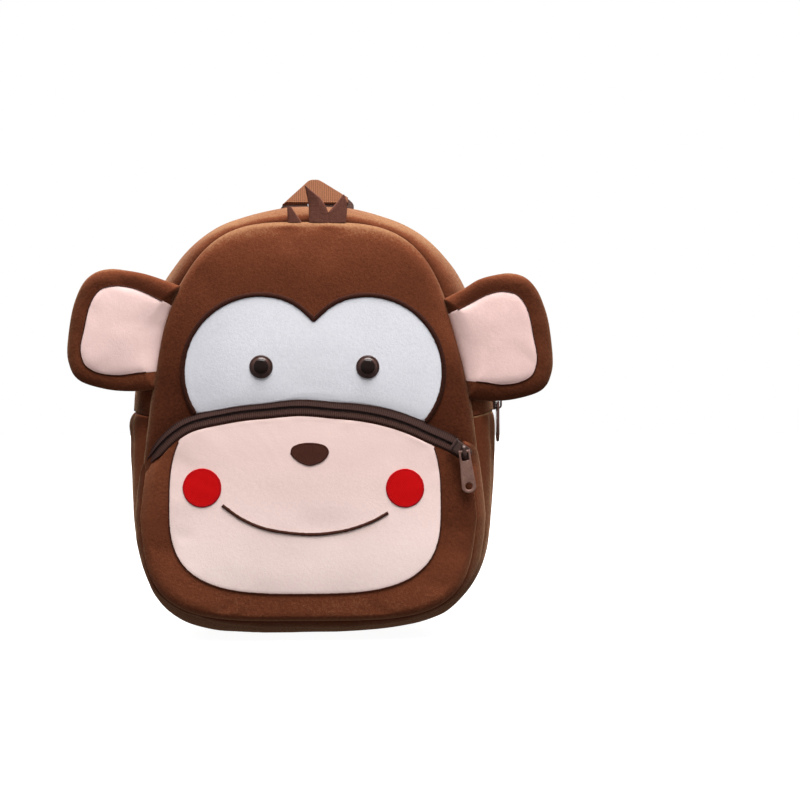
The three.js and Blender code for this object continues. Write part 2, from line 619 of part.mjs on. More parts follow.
function sliderGeometry(turn) {
  const l = SLIDER.length / 2;
  const w = SLIDER.width / 2;
  const n = SLIDER.nose / 2;
  const plan = [
    [-l, -w + 1], [-l + 1.5, -w], [l - 2, -w], [l, -n], [l, n], [l - 2, w], [-l + 1.5, w], [-l, w - 1],
  ];
  const shape = new THREE.Shape(plan.map(([x, y]) => new THREE.Vector2(x, y)));
  const body = new THREE.ExtrudeGeometry(shape, { depth: SLIDER.body, bevelEnabled: false });
  body.translate(-SLIDER.back, 0, 0).rotateZ(turn);
  const b = SLIDER.bridgeHalf;
  const low = SLIDER.body - 0.4;
  const { top, bridgeHole: h, holeLow, holeHigh } = SLIDER;
  const side = [[-b, low], [b, low], [b, top - 1.6], [b - 1.4, top], [-b + 1.4, top], [-b, top - 1.6]];
  const opening = [[-h, holeLow], [h, holeLow], [h, holeHigh], [-h, holeHigh]];
  const bridge = flatPiece(side, SLIDER.bridgeWidth, [opening]).translate(0, -SLIDER.bridgeWidth / 2, 0);
  return joined([body, bridge]);
}
// Pull tab: bar on the origin, tab along +X, thickness along Z
function pullGeometry() {
  const start = PULL.length - PULL.endRadius;
  const arc = range(11).map((i) => {
    const turn = radians(mix(-75, 75, i / 10));
    return [start + PULL.endRadius * Math.cos(turn), PULL.endRadius * Math.sin(turn)];
  });
  const plan = [
    [-PULL.bar, -PULL.barHalf], [PULL.slotEnd, -PULL.barHalf], [PULL.slotEnd + 2, -PULL.neck],
    ...arc,
    [PULL.slotEnd + 2, PULL.neck], [PULL.slotEnd, PULL.barHalf], [-PULL.bar, PULL.barHalf],
  ];
  const w = PULL.barHalf - PULL.arm;
  const slot = [[PULL.bar, -w], [PULL.slotEnd, -w], [PULL.slotEnd, w], [PULL.bar, w]];
  const hole = range(12).map((i) => {
    const turn = (i / 12) * 2 * Math.PI;
    return [start + 0.4 + PULL.hole * Math.cos(turn), PULL.hole * Math.sin(turn)];
  });
  const shape = new THREE.Shape(plan.map(([x, y]) => new THREE.Vector2(x, y)));
  shape.holes = [slot, hole].map((points) => {
    return new THREE.Path(points.map(([x, y]) => new THREE.Vector2(x, y)));
  });
  const tab = new THREE.ExtrudeGeometry(shape, { depth: PULL.thick, bevelEnabled: false });
  return tab.translate(0, 0, -PULL.thick / 2);
}
// Places a slider and its pull: `hang` is the way the pull points, `away` leaves the cloth.
function zipSlider(prefix, at, hang, away, bodyTurn) {
  const third = new THREE.Vector3().crossVectors(away, hang);
  const frame = new THREE.Matrix4().makeBasis(hang, third, away);
  const slider = sliderGeometry(bodyTurn).applyMatrix4(frame).translate(...at.toArray());
  addMesh(prefix + "_slider", slider, COLOURS.metal, 0.35);
  const bar = at.clone().addScaledVector(away, PULL.axis);
  const pull = pullGeometry().applyMatrix4(frame).translate(...bar.toArray());
  addMesh(prefix + "_pull", pull, COLOURS.metal, 0.35);
}
const tilt = radians(POCKET_SLIDER.tilt);
const pocketHang = new THREE.Vector3(Math.sin(tilt), 0, -Math.cos(tilt));
const pocketY0 = -POUCH.rimY - ZIP.coilRise - 0.3;
const pocketAt = new THREE.Vector3(POCKET_SLIDER.x, pocketY0, archHeight(POCKET_SLIDER.x));
const hangTurn = radians(POCKET_SLIDER.teeth) - Math.atan2(pocketHang.z, pocketHang.x);
zipSlider("pocket", pocketAt, pocketHang, new THREE.Vector3(0, -1, 0), hangTurn);
const sideReach = reach((x) => level(BELLY, x, MAIN_SLIDER.height) < 1, [0, 0], 0);
const mainAt = new THREE.Vector3(sideReach + 0.4, 0, MAIN_SLIDER.height);
zipSlider("main", mainAt, new THREE.Vector3(0, 0, -1), new THREE.Vector3(1, 0, 0), 0);

export default backpack;
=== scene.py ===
import json
import math
from types import SimpleNamespace as Sizes

import bmesh
import bpy
import numpy as np
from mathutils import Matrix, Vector, noise
from mathutils.bvhtree import BVHTree


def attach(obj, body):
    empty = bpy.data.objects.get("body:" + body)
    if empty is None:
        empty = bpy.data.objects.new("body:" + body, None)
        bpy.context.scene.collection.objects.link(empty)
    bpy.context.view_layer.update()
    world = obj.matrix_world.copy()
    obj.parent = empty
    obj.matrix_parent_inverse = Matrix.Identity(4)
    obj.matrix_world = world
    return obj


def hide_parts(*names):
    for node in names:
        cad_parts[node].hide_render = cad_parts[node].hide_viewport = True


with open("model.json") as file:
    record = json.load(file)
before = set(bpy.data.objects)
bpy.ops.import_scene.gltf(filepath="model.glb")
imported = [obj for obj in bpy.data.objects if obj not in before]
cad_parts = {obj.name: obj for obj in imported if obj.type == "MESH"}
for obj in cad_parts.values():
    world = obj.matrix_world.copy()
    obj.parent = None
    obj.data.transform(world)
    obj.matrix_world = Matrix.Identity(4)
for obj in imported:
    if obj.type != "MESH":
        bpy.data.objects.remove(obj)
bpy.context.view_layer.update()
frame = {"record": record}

# Sizes in millimetres, +Z up, the face looks along -Y
MM = 0.001
FORWARD = (0, -1, 0)
BACKWARD = (0, 1, 0)
WALL = 2.0
SEAM_Y = 40.0
CENTRE = (0.0, 100.0)

# Rounded outlines. lean is a further shift at the height of the ears.
FRONT = Sizes(half=96, widest=70, top=232, bottom=7, n_top=3.7, n_bottom=2.8, taper_top=0.17,
              taper_bottom=0, shift=0, lean=-1.6)
BELLY = Sizes(half=104, widest=105, top=244.2, bottom=-2, n_top=2.6, n_bottom=4.3, taper_top=0.02,
              taper_bottom=0.04, shift=1.2, lean=0)
BACK = Sizes(half=98, widest=100, top=238, bottom=5, n_top=2.7, n_bottom=4, taper_top=0.03,
             taper_bottom=0.05, shift=0, lean=0)
POCKET = Sizes(half=92.6, widest=68, top=232, bottom=11.3, n_top=4, n_bottom=4, taper_top=0.17,
               taper_bottom=0.07, shift=-1.5, lean=0)

FACE = Sizes(roll=4.5, crown=7.5, roll_start=0.93, tuck=1.5, tuck_length=5.0)
POUCH = Sizes(rim_y=52, puff=7.5, roll_start=0.9, rise=90, centre=(-1.5, 60))
ARCH = Sizes(
    peak=128.6, centre=-6.5, half=85, drop=22.2, power=2.7, left=-90, right=87.6,
    end=66, end_drop=7.2, straight=62, rise=2.0,
)
ZIP = Sizes(
    coil=0.72, tape=0.45, lower=-5.1, pocket_edge=-4.7, sink=62,
    upper_x=(-90, -84, -74, -65, -48, -30, -7, 16, 40, 57, 78, 86),
    upper=(1.3, 2.9, 3.7, 3.5, 3.1, 3.1, 3.9, 4.0, 4.6, 4.8, 4.8, 2.6),
)
MAIN_ZIP = Sizes(end=14.5, band=4, recess=1.2, bottom=126.5)

EYE_PATCH = Sizes(centre=(0.95, 150), spread=29.4, height=148.2, radius=42, notch=1.4)
EYE = Sizes(centre=1.35, spread=29.3, height=151, radius=6.45)
# Angles where the band round the pocket ends, in degrees about the middle of the bag
BAND = Sizes(right=9.5, left=-183)
MUZZLE = Sizes(centre=(-3.5, 72), half=74.5, widest=77, bottom=26.8, power=3.15, top_half=68)
CHEEKS = {"cheek_left": (-59.9, 84.8), "cheek_right": (51.0, 84.4)}
CHEEK_RADIUS = 10.6
NOSE = [
    (-11.8, 103.3), (-11, 106.4), (-7, 108.4), (-1.5, 109), (4.5, 108.4), (8, 106.8),
    (9.2, 103.8), (7, 100.3), (3, 98), (-1.3, 97), (-5.5, 98.2), (-9, 100.4),
]
NOSE_CENTRE = (-1.3, 103.6)
MOUTH = [(-48.8, 75.3), (-37.6, 67.6), (-23, 62), (-1.1, 59.4), (17, 61.2), (31.7, 65.8), (41.6, 71)]

EAR_OUTLINE = [
    (76.3, 189), (83.9, 194.6), (93, 200.2), (102.5, 203), (111.4, 204.1), (119.8, 201.9),
    (126.4, 195.2), (130.9, 185.1), (133.7, 174), (135.6, 155.6), (134.2, 146.2), (130.9, 140),
    (124.5, 136.1), (110.8, 132.8), (96.9, 132.2), (88, 133.3),
]
EAR_LINING = [
    (78.5, 180.7), (87.4, 186.3), (96.9, 191.3), (105.8, 193.5), (113.6, 192.1), (118.1, 187.9),
    (121.4, 180.7), (123.7, 169.5), (125.9, 157.3), (124.8, 150.1), (122, 145.6), (115.3, 142.3),
    (105.8, 141.1), (96.9, 142.3), (86.9, 143.4),
]
EAR = Sizes(centre=(106, 167), lining_x=102, root_y=-41.8, slant=0.1, edge=0.5, puff=6, soft=14)
# How far outside the face seam the roots of an ear's pieces lie. Less than 0 is under the face.
EAR_ROOT = Sizes(skin=-1.6, form=-1.4, groove=-6.0, lining=-1.3, hem=-0.4)
# The left ear sits higher and is flatter. Its edges move by these amounts, the upper ones at distances x.
LEFT_EAR = Sizes(
    rise=4, lining_out=1.7, x=(76, 84, 93, 102, 111, 120, 131),
    upper=(2.7, 1.3, -1.4, -2.4, -2.6, -2.2, 0), lower=1.4,
    lining_upper=(0.4, -0.2, -1.1, -1.7, -1.7, -1.5, 0), lining_lower=1.0,
)

TUFT = [
    # left edge, right edge and bend of each spike
    ([(-13.5, 231.5), (-13.7, 236), (-13.9, 240.3)],
     [(-5.6, 231.5), (-8.2, 235.4), (-11.6, 240.3)], 0.6),
    ([(-1.8, 231.5), (-1.8, 239), (-2.8, 246), (-4.1, 251.6)],
     [(9.2, 231.5), (9.0, 237.4), (7.0, 242), (4.2, 245.8), (-3.4, 251.8)], -0.8),
    ([(8.8, 231.5), (9.0, 237.2), (12.4, 241.4), (17.3, 247.2)],
     [(18.9, 231.5), (19.5, 239), (19.5, 243.2), (17.9, 247.3)], 0.9),
]
TUFT_ROOT = Sizes(y=-41.7, z=233)
HANDLE = Sizes(
    centre=2.4, base=(41.15, 237.6), lean=28,
    edge_x=(-19.5, -18.6, -2.5, -0.5, 3.4, 5.2, 23.0, 25.2, 25.6),
    edge_z=(13.6, 15.2, 33.4, 34.4, 34.6, 33.8, 20.6, 18, 16.5),
)
STRAP_ROWS = np.array([
    # height, distance from the seam plane, offset, half width, thickness
    (235, 46.2, 26, 24.8, 3.4), (228, 47.6, 26.2, 25.2, 6.5), (214, 50.2, 27.2, 25.2, 8.5),
    (192, 53.5, 29, 25, 9), (165, 56, 31.4, 24.7, 9), (135, 56.6, 34, 24.3, 9),
    (105, 55.6, 36.6, 24, 9), (78, 53.4, 39, 23.6, 9), (58, 51.8, 40.6, 23.2, 8.6),
    (49, 51.2, 41.3, 22.4, 7), (45, 50.8, 41.5, 19.5, 4),
])
STRAP = Sizes(top=235, bend=200)
WEB = Sizes(half=12.5, thick=1.4, x=41.5)
RIB_PITCH = 1.15
WEB_UPPER = [
    (46.6, 52), (45.8, 45), (44.9, 39), (45.2, 35.2), (47.6, 34.2), (49.1, 32.8), (49.1, 30.8),
    (47.6, 29.4), (45.4, 28.6),
]
WEB_LOWER = [
    (45.4, 24), (47.6, 23.2), (49.1, 21.8), (49.1, 19.8), (47.6, 18.4), (45.4, 17), (45.1, 13),
    (44.5, 9.6), (43.2, 6.6),
]
BUCKLE = Sizes(y=46.4, depth=3.6)
PULL_AXIS = 3.6
POCKET_SLIDER = Sizes(tilt=7.5, teeth=-36)
BACK_PAD = 3.2

# Camera in metres, its focal length and the width of the picture in pixels, its sensor in millimetres
CAMERA = Sizes(eye=(0, -0.940, 0.130), target=(0.0513, 0, 0.1329), focal=1612, width=800, sensor=36)


# Numbers
def mix(a, b, t):
    return a + (b - a) * t


def smooth(t):
    t = np.clip(t, 0, 1)
    return t * t * (3 - 2 * t)


def fade(value, start, length):
    """Smooth step from 0 at a start to 1 where the value is a length further, up or down."""
    return smooth((value - start) / length)


def bell(value, at, width):
    """Bump with a height of 1 at a place."""
    return np.exp(-((value - at) / width) ** 2)


def xyz(x, y, z):
    """Points from their three coordinates."""
    return np.stack(np.broadcast_arrays(x, y, z), -1)


def rolled(share, start):
    """Rolled edge of a padded panel: 1 over the middle, 0 on its seam."""
    t = np.clip((share - start) / (1 - start), 0, 1)
    return np.sqrt(1 - t * t)


def domed(t, power=2, least=0.0):
    """Height of a rounded section from -1 to 1, squarer with a higher power."""
    return np.sqrt(np.maximum(least, 1 - np.abs(t) ** power))


def wobble(x, y, z, size, seed=0.0):
    """Smooth noise from about -1 to 1 with features of a size in millimetres."""
    x, y, z = np.broadcast_arrays(x, y, z)
    flat = xyz(x, y, z).reshape(-1, 3) / size + seed
    return np.array([noise.noise(p) for p in flat.tolist()]).reshape(x.shape)


def waves(x, z, *rows):
    """Sum of smooth noises, each with a height, a size and a seed."""
    return sum(height * wobble(x, 0, z, size, seed) for height, size, seed in rows)


def gathers(x, z, edge, height, length, size, seed):
    """Small puckers beside a seam, smaller with the distance from it."""
    return height * np.exp(-edge / length) * np.minimum(1, edge) * wobble(x, 0, z, size, seed)


def turns(steps):
    """Even angles of one turn."""
    return (np.arange(steps) + 0.5) / steps * 2 * np.pi


def spline(points, count):
    """Even points on a smooth curve through the given ones."""
    p = np.asarray(points, float)
    ends = np.concatenate([[2 * p[0] - p[1]], p, [2 * p[-1] - p[-2]]])
    fine = []
    for i in range(len(p) - 1):
        a, b, c, d = ends[i:i + 4]
        for t in np.linspace(0, 1, 24, endpoint=False):
            fine.append(0.5 * (2 * b + (c - a) * t + (2 * a - 5 * b + 4 * c - d) * t**2
                               + (3 * b - a - 3 * c + d) * t**3))
    fine.append(p[-1])
    return even(np.array(fine), count)


def distances(line):
    """How far along a line each of its points lies."""
    return np.concatenate([[0], np.cumsum(np.linalg.norm(np.diff(line, axis=0), axis=1))])


def sideways(line, closed=False):
    """Unit directions across a flat line at its points."""
    if closed:
        tangent = np.roll(line, -1, axis=0) - np.roll(line, 1, axis=0)
    else:
        tangent = np.gradient(line, axis=0)
    tangent /= np.linalg.norm(tangent, axis=1, keepdims=True)
    return np.stack([-tangent[:, 1], tangent[:, 0]], -1)


def even(line, count):
    """The same line with points at even distances."""
    line = np.asarray(line, float)
    along = distances(line)
    steps = np.linspace(0, along[-1], count)
    return np.stack([np.interp(steps, along, line[:, k]) for k in range(line.shape[1])], -1)


# Outlines in the XZ plane
def level(o, x, z):
    """Level of a point in an outline: 1 on the line, less inside."""
    rise = z - o.widest
    upper = rise >= 0
    t = np.abs(rise) / np.where(upper, o.top - o.widest, o.widest - o.bottom)
    n = np.where(upper, o.n_top, o.n_bottom)
    taper = np.where(upper, o.taper_top, o.taper_bottom) * np.minimum(t, 1.3)
    shift = o.shift + o.lean * bell(z, 176, 26)
    across = np.abs(x - shift) / (o.half * (1 - taper))
    return (across**n + t**n) ** (1 / n)


def reach(inside, centre, angles):
    """How far a shape reaches from a centre at each angle."""
    near = np.zeros_like(angles)
    far = np.full_like(angles, 260.0)
    for _ in range(40):
        middle = (near + far) / 2
        hit = inside(centre[0] + middle * np.cos(angles), centre[1] + middle * np.sin(angles))
        near = np.where(hit, middle, near)
        far = np.where(hit, far, middle)
    return near


def within(o):
    return lambda x, z: level(o, x, z) < 1


def in_polygon(polygon):
    points = np.asarray(polygon, float)

    def inside(x, z):
        odd = np.zeros(np.shape(x), bool)
        for (ax, az), (bx, bz) in zip(points, np.roll(points, -1, axis=0)):
            crosses = (az > z) != (bz > z)
            slope = (bx - ax) / (bz - az) if bz != az else 0.0
            odd ^= crosses & (x < slope * (z - az) + ax)
        return odd

    return inside


def polar(inside, centre, steps, shares):
    """Grid of points that fills a shape from its centre out, and each point's distance from the edge."""
    angles = turns(steps)
    far = reach(inside, centre, angles)[:, None]
    s = np.asarray(shares)[None, :]
    x = centre[0] + far * s * np.cos(angles)[:, None]
    z = centre[1] + far * s * np.sin(angles)[:, None]
    return x, z, far * (1 - s)


def shares(middle, edge, start=0.85):
    """Shares from 0 to 1, closer together near the edge."""
    return np.concatenate([np.linspace(0, start, middle, endpoint=False),
                           mix(start, 1, np.sin(np.linspace(0, np.pi / 2, edge)))])


# Curve of the pocket zipper
def arch(x):
    bow = ARCH.drop * (np.abs(x - ARCH.centre) / ARCH.half) ** ARCH.power
    drop = ARCH.end_drop * (np.maximum(0, -x - ARCH.end) / 23) ** 2
    rise = ARCH.rise * (np.maximum(0, x - ARCH.straight) / 22) ** 2
    shoulders = 1 - fade(-x, 48, 20) - fade(x, 62, 18)
    roof = 1.15 * smooth(np.abs(x - ARCH.centre) / 22) * shoulders
    return ARCH.peak - bow - drop + rise - roof


def arch_slope(x):
    return (arch(x + 1) - arch(x - 1)) / 2


def across_arch(x, z):
    return (z - arch(x)) / np.hypot(1, arch_slope(x))


def upper_edge(x):
    """Width of the upper tape that the puffed face leaves free."""
    return np.interp(x, ZIP.upper_x, ZIP.upper)


def narrowed(offset, x):
    """A distance below the zipper, smaller at its left end."""
    return mix(offset, -2.0, fade(-x, 82, 9))


def beside_arch(x, q):
    length = np.hypot(1, arch_slope(x))
    return x - q * arch_slope(x) / length, arch(x) + q / length


# Meshes
def build(name, points, faces, material, weave=None, sharp=None, tone=None):
    """A mesh object from points in millimetres.

    weave is a length and a width along the cloth per point, and tone is painted light and shade, how much
    lighter or darker its pile is painted.
    """
    mesh = bpy.data.meshes.new(name)
    mesh.from_pydata((np.asarray(points) * MM).tolist(), [], faces)
    # Painted light and shade per point, which the plush material reads.
    if tone is not None:
        painted_shading = mesh.attributes.new("tone", "FLOAT", "POINT")
        painted_shading.data.foreach_set("value", np.asarray(tone, np.float32).ravel())
    if weave is not None:
        flow = mesh.attributes.new("weave", "FLOAT_VECTOR", "POINT")
        flow.data.foreach_set("vector", np.asarray(weave, np.float32).ravel())
    shape = bmesh.new()
    shape.from_mesh(mesh)
    bmesh.ops.remove_doubles(shape, verts=shape.verts, dist=1e-7)
    bmesh.ops.recalc_face_normals(shape, faces=shape.faces)
    shape.to_mesh(mesh)
    shape.free()
    mesh.polygons.foreach_set("use_smooth", [True] * len(mesh.polygons))
    if sharp is not None:
        mesh.set_sharp_from_angle(angle=math.radians(sharp))
    mesh.materials.append(material)
    piece = bpy.data.objects.new(name, mesh)
    bpy.context.scene.collection.objects.link(piece)
    return piece


def normals_of(grid, away, closed=False):
    """Unit normals of a grid of points, on the side that a direction points to."""
    if closed:
        along = np.roll(grid, -1, axis=0) - np.roll(grid, 1, axis=0)
    else:
        along = np.gradient(grid, axis=0)
    across = np.gradient(grid, axis=1)
    n = np.cross(along, across)
    length = np.linalg.norm(n, axis=-1, keepdims=True)
    n = np.where(length > 1e-9, n / np.maximum(length, 1e-9), away)
    flip = np.sum(n * away, axis=-1, keepdims=True) < 0
    return np.where(flip, -n, n)


def shell(name, outer, inner, material, closed=False, fan=False, weave=None, tone=None):
    """A closed skin between two grids. Rows may close on themselves, and column 0 may be one point."""
    rows, cols = outer.shape[:2]
    count = rows * cols
    points = np.concatenate([outer.reshape(-1, 3), inner.reshape(-1, 3)])

    def at(layer, i, j):
        return layer * count + (i % rows) * cols + j

    faces = []
    for i in range(rows if closed else rows - 1):
        k = i + 1
        for j in range(cols - 1):
            faces.append((at(0, i, j), at(0, k, j), at(0, k, j + 1), at(0, i, j + 1)))
            faces.append((at(1, i, j + 1), at(1, k, j + 1), at(1, k, j), at(1, i, j)))
        faces.append((at(0, i, cols - 1), at(0, k, cols - 1), at(1, k, cols - 1), at(1, i, cols - 1)))
        if not fan:
            faces.append((at(1, i, 0), at(1, k, 0), at(0, k, 0), at(0, i, 0)))
    if not closed:
        for j in range(cols - 1):
            faces.append((at(0, 0, j), at(0, 0, j + 1), at(1, 0, j + 1), at(1, 0, j)))
            e = rows - 1
            faces.append((at(1, e, j), at(1, e, j + 1), at(0, e, j + 1), at(0, e, j)))
    both = None if weave is None else np.concatenate([weave.reshape(-1, 3)] * 2)
    painted_shading = None if tone is None else np.concatenate([np.ravel(tone)] * 2)
    return build(name, points, faces, material, both, tone=painted_shading)


def tube(name, rings, material, closed=False, weave=None, sharp=None):
    """A closed skin round a row of rings of points."""
    points, faces, flow = [], [], []
    add_tube(points, faces, rings, closed, flow, weave)
    return build(name, points, faces, material, flow if weave is not None else None, sharp)


def add_tube(points, faces, rings, closed=False, flow=None, weave=None):
    rows, cols = rings.shape[:2]
    base = len(points)
    points.extend(rings.reshape(-1, 3).tolist())
    if weave is not None:
        flow.extend(weave.reshape(-1, 3).tolist())
    for i in range(rows if closed else rows - 1):
        a, b = base + i * cols, base + (i + 1) % rows * cols
        for j in range(cols):
            k = (j + 1) % cols
            faces.append((a + j, b + j, b + k, a + k))
    if not closed:
        faces.append(tuple(range(base + cols - 1, base - 1, -1)))
        faces.append(tuple(range(base + (rows - 1) * cols, base + rows * cols)))


def pillow(name, outer, material, away=FORWARD, tone=None):
    """A panel of cloth over a polar grid, with its thickness behind it."""
    inner = outer - WALL * normals_of(outer, np.array(away, float), closed=True)
    return shell(name, outer, inner, material, closed=True, fan=True, tone=tone)


def spread(values, at, count, closed):
    """Values at some rows of a grid, spread over all its rows."""
    if closed:
        values, at = np.concatenate([values, values[:1]]), np.append(at, count + at[0])
    k = np.clip(np.searchsorted(at, np.arange(count), "right") - 1, 0, len(at) - 2)
    t = smooth((np.arange(count) - at[k]) / (at[k + 1] - at[k])).reshape(-1, 1, 1)
    return mix(values[k], values[k + 1], t)


def inflate(grid, held, most, away, closed):
    """Cloth simulation of a padded skin, its held points fixed, on a coarse copy of its grid.

    The movement is scaled so that no point goes further than a limit in millimetres. In the middle of a
    closed grid, where its points crowd together, they all move alike.
    """
    coarse_rows, coarse_cols, crowded, last_step = 72, 26, 6, 20
    rows, cols = grid.shape[:2]
    i = np.linspace(0, rows - (2 if closed else 1), coarse_rows).astype(int)
    j = np.linspace(3 if closed else 0, cols - 1, coarse_cols).astype(int)
    coarse = grid[np.ix_(i, j)]
    n, m = len(i), len(j)
    faces = []
    for a in range(n if closed else n - 1):
        b = (a + 1) % n
        faces += [(a * m + k, b * m + k, b * m + k + 1, a * m + k + 1) for k in range(m - 1)]
    mesh = bpy.data.meshes.new("skin")
    mesh.from_pydata((coarse.reshape(-1, 3) * MM).tolist(), [], faces)
    facing = sum((f.normal * f.area for f in mesh.polygons), Vector())
    if facing.dot(Vector(away)) < 0:
        mesh.flip_normals()
    skin = bpy.data.objects.new("skin", mesh)
    scene = bpy.context.scene
    scene.collection.objects.link(skin)
    fixed = skin.vertex_groups.new(name="held")
    fixed.add(np.flatnonzero(held[np.ix_(i, j)]).tolist(), 1.0, "REPLACE")
    cloth = skin.modifiers.new("cloth", "CLOTH")
    cloth.settings.vertex_group_mass = "held"
    cloth.settings.use_pressure = True
    cloth.settings.uniform_pressure_force = 4.0
    cloth.settings.effector_weights.gravity = 0.0
    cloth.point_cache.frame_end = last_step
    for step in range(1, last_step + 1):
        scene.frame_set(step)
    shape = skin.evaluated_get(bpy.context.evaluated_depsgraph_get())
    moved = np.array([v.co for v in shape.data.vertices]).reshape(n, m, 3) / MM - coarse
    bpy.data.objects.remove(skin)
    bpy.data.meshes.remove(mesh)
    scene.frame_set(1)
    moved *= most / max(most, float(np.linalg.norm(moved, axis=-1).max()))
    if closed:
        share = smooth(np.arange(m) / crowded)[None, :, None]
        moved = mix(moved[:, crowded].mean(axis=0), moved, share)
    moved = spread(moved, i, rows, closed)
    return grid + spread(moved.swapaxes(0, 1), j, cols, False).swapaxes(0, 1)


def plate(outline_points, holes, thick, bevel):
    """Points and faces of a flat piece with rounded edges, its thickness along its own Z."""
    curve = bpy.data.curves.new("plate", "CURVE")
    curve.dimensions = "2D"
    curve.fill_mode = "BOTH"
    curve.bevel_depth = bevel * MM
    curve.bevel_resolution = 3
    curve.extrude = (thick / 2 - bevel) * MM
    curve.offset = -bevel * MM
    for loop in [outline_points, *holes]:
        line = curve.splines.new("POLY")
        line.points.add(len(loop) - 1)
        for point, (a, b) in zip(line.points, loop):
            point.co = (a * MM, b * MM, 0, 1)
        line.use_cyclic_u = True
    holder = bpy.data.objects.new("plate", curve)
    bpy.context.scene.collection.objects.link(holder)
    mesh = bpy.data.meshes.new_from_object(holder.evaluated_get(bpy.context.evaluated_depsgraph_get()))
    points = np.array([v.co for v in mesh.vertices]) / MM
    faces = [tuple(f.vertices) for f in mesh.polygons]
    bpy.data.objects.remove(holder)
    bpy.data.curves.remove(curve)
    bpy.data.meshes.remove(mesh)
    return points, faces


def box(x0, z0, x1, z1):
    return [(x0, z0), (x1, z0), (x1, z1), (x0, z1)]


def rounded(corners, radius, steps=6):
    """A polygon with its corners rounded."""
    p = np.asarray(corners, float)
    out = []
    for before, here, after in zip(np.roll(p, 1, axis=0), p, np.roll(p, -1, axis=0)):
        r = min(radius, np.linalg.norm(before - here) * 0.45, np.linalg.norm(after - here) * 0.45)
        a = here + (before - here) / np.linalg.norm(before - here) * r
        b = here + (after - here) / np.linalg.norm(after - here) * r
        for t in np.linspace(0, 1, steps):
            out.append((1 - t) ** 2 * a + 2 * t * (1 - t) * here + t**2 * b)
    return np.array(out)


def placed(points, at, x_axis, y_axis, z_axis):
    return np.asarray(at) + points @ np.array([x_axis, y_axis, z_axis], float)


def depth_on(*pieces):
    """Depth of the first surface met from the front, at points of the XZ plane."""
    trees = []
    for piece in pieces:
        mesh = piece.data
        trees.append(BVHTree.FromPolygons([v.co for v in mesh.vertices],
                                          [tuple(f.vertices) for f in mesh.polygons]))

    def depth(x, z):
        x, z = np.broadcast_arrays(x, z)
        found = np.empty(x.shape)
        for i in np.ndindex(x.shape):
            best = None
            for tree in trees:
                hit = tree.ray_cast(Vector((x[i] * MM, -0.2, z[i] * MM)), Vector((0, 1, 0)))[0]
                if hit is not None and (best is None or hit.y < best):
                    best = hit.y
            found[i] = -SEAM_Y if best is None else best / MM
        return found

    return depth


def fit(piece, nodes, body="bag"):
    """Puts a piece on its body in place of the CAD nodes that it stands for."""
    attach(piece, body)
    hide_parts(*nodes)
    return piece


# Materials
def srgb(colour):
    """Linear colour from 8-bit values."""
    linear = [c / 255 / 12.92 if c < 11 else ((c / 255 + 0.055) / 1.055) ** 2.4 for c in colour]
    return (*linear, 1.0)


def place(tree):
    """Where a point lies on its piece."""
    return node(tree, "ShaderNodeTexCoord").outputs["Object"]


def calculate(tree, operation, *values):
    inputs = dict(enumerate(values))
    return node(tree, "ShaderNodeMath", inputs, operation=operation).outputs[0]


def mixed(a, b):
    return tuple((p + q) / 2 for p, q in zip(a, b))


def node(tree, kind, inputs=None, **settings):
    made = tree.nodes.new(kind)
    for key, value in settings.items():
        setattr(made, key, value)
    for key, value in (inputs or {}).items():
        if isinstance(value, bpy.types.NodeSocket):
            tree.links.new(value, made.inputs[key])
        else:
            made.inputs[key].default_value = value
    return made


def blank(name, **values):
    made = bpy.data.materials.new(name)
    made.use_nodes = True
    bsdf = made.node_tree.nodes["Principled BSDF"]
    for key, value in values.items():
        bsdf.inputs[key.replace("_", " ")].default_value = value
    return made, made.node_tree, bsdf


def grain(tree, where, size, detail=2.0):
    """Noise with features of a size in millimetres."""
    inputs = {"Vector": where, "Scale": 1000 / size, "Detail": detail, "Roughness": 0.6}
    return node(tree, "ShaderNodeTexNoise", inputs).outputs["Fac"]


def weighed(tree, *pairs):
    """Sum of sockets, each times a weight."""
    total = None
    for socket, weight in pairs:
        total = calculate(tree, "MULTIPLY_ADD", socket, weight, 0.0 if total is None else total)
    return total


def ramp(tree, factor, *stops):
    made = node(tree, "ShaderNodeValToRGB", {"Fac": factor})
    band = made.color_ramp.elements
    while len(band) < len(stops):
        band.new(0.5)
    for element, (at, colour) in zip(band, stops):
        element.position = at
        element.color = colour
    return made.outputs["Color"]


def bumped(tree, bsdf, height, strength, distance):
    inputs = {"Height": height, "Strength": strength, "Distance": distance * MM}
    tree.links.new(node(tree, "ShaderNodeBump", inputs).outputs["Normal"], bsdf.inputs["Normal"])


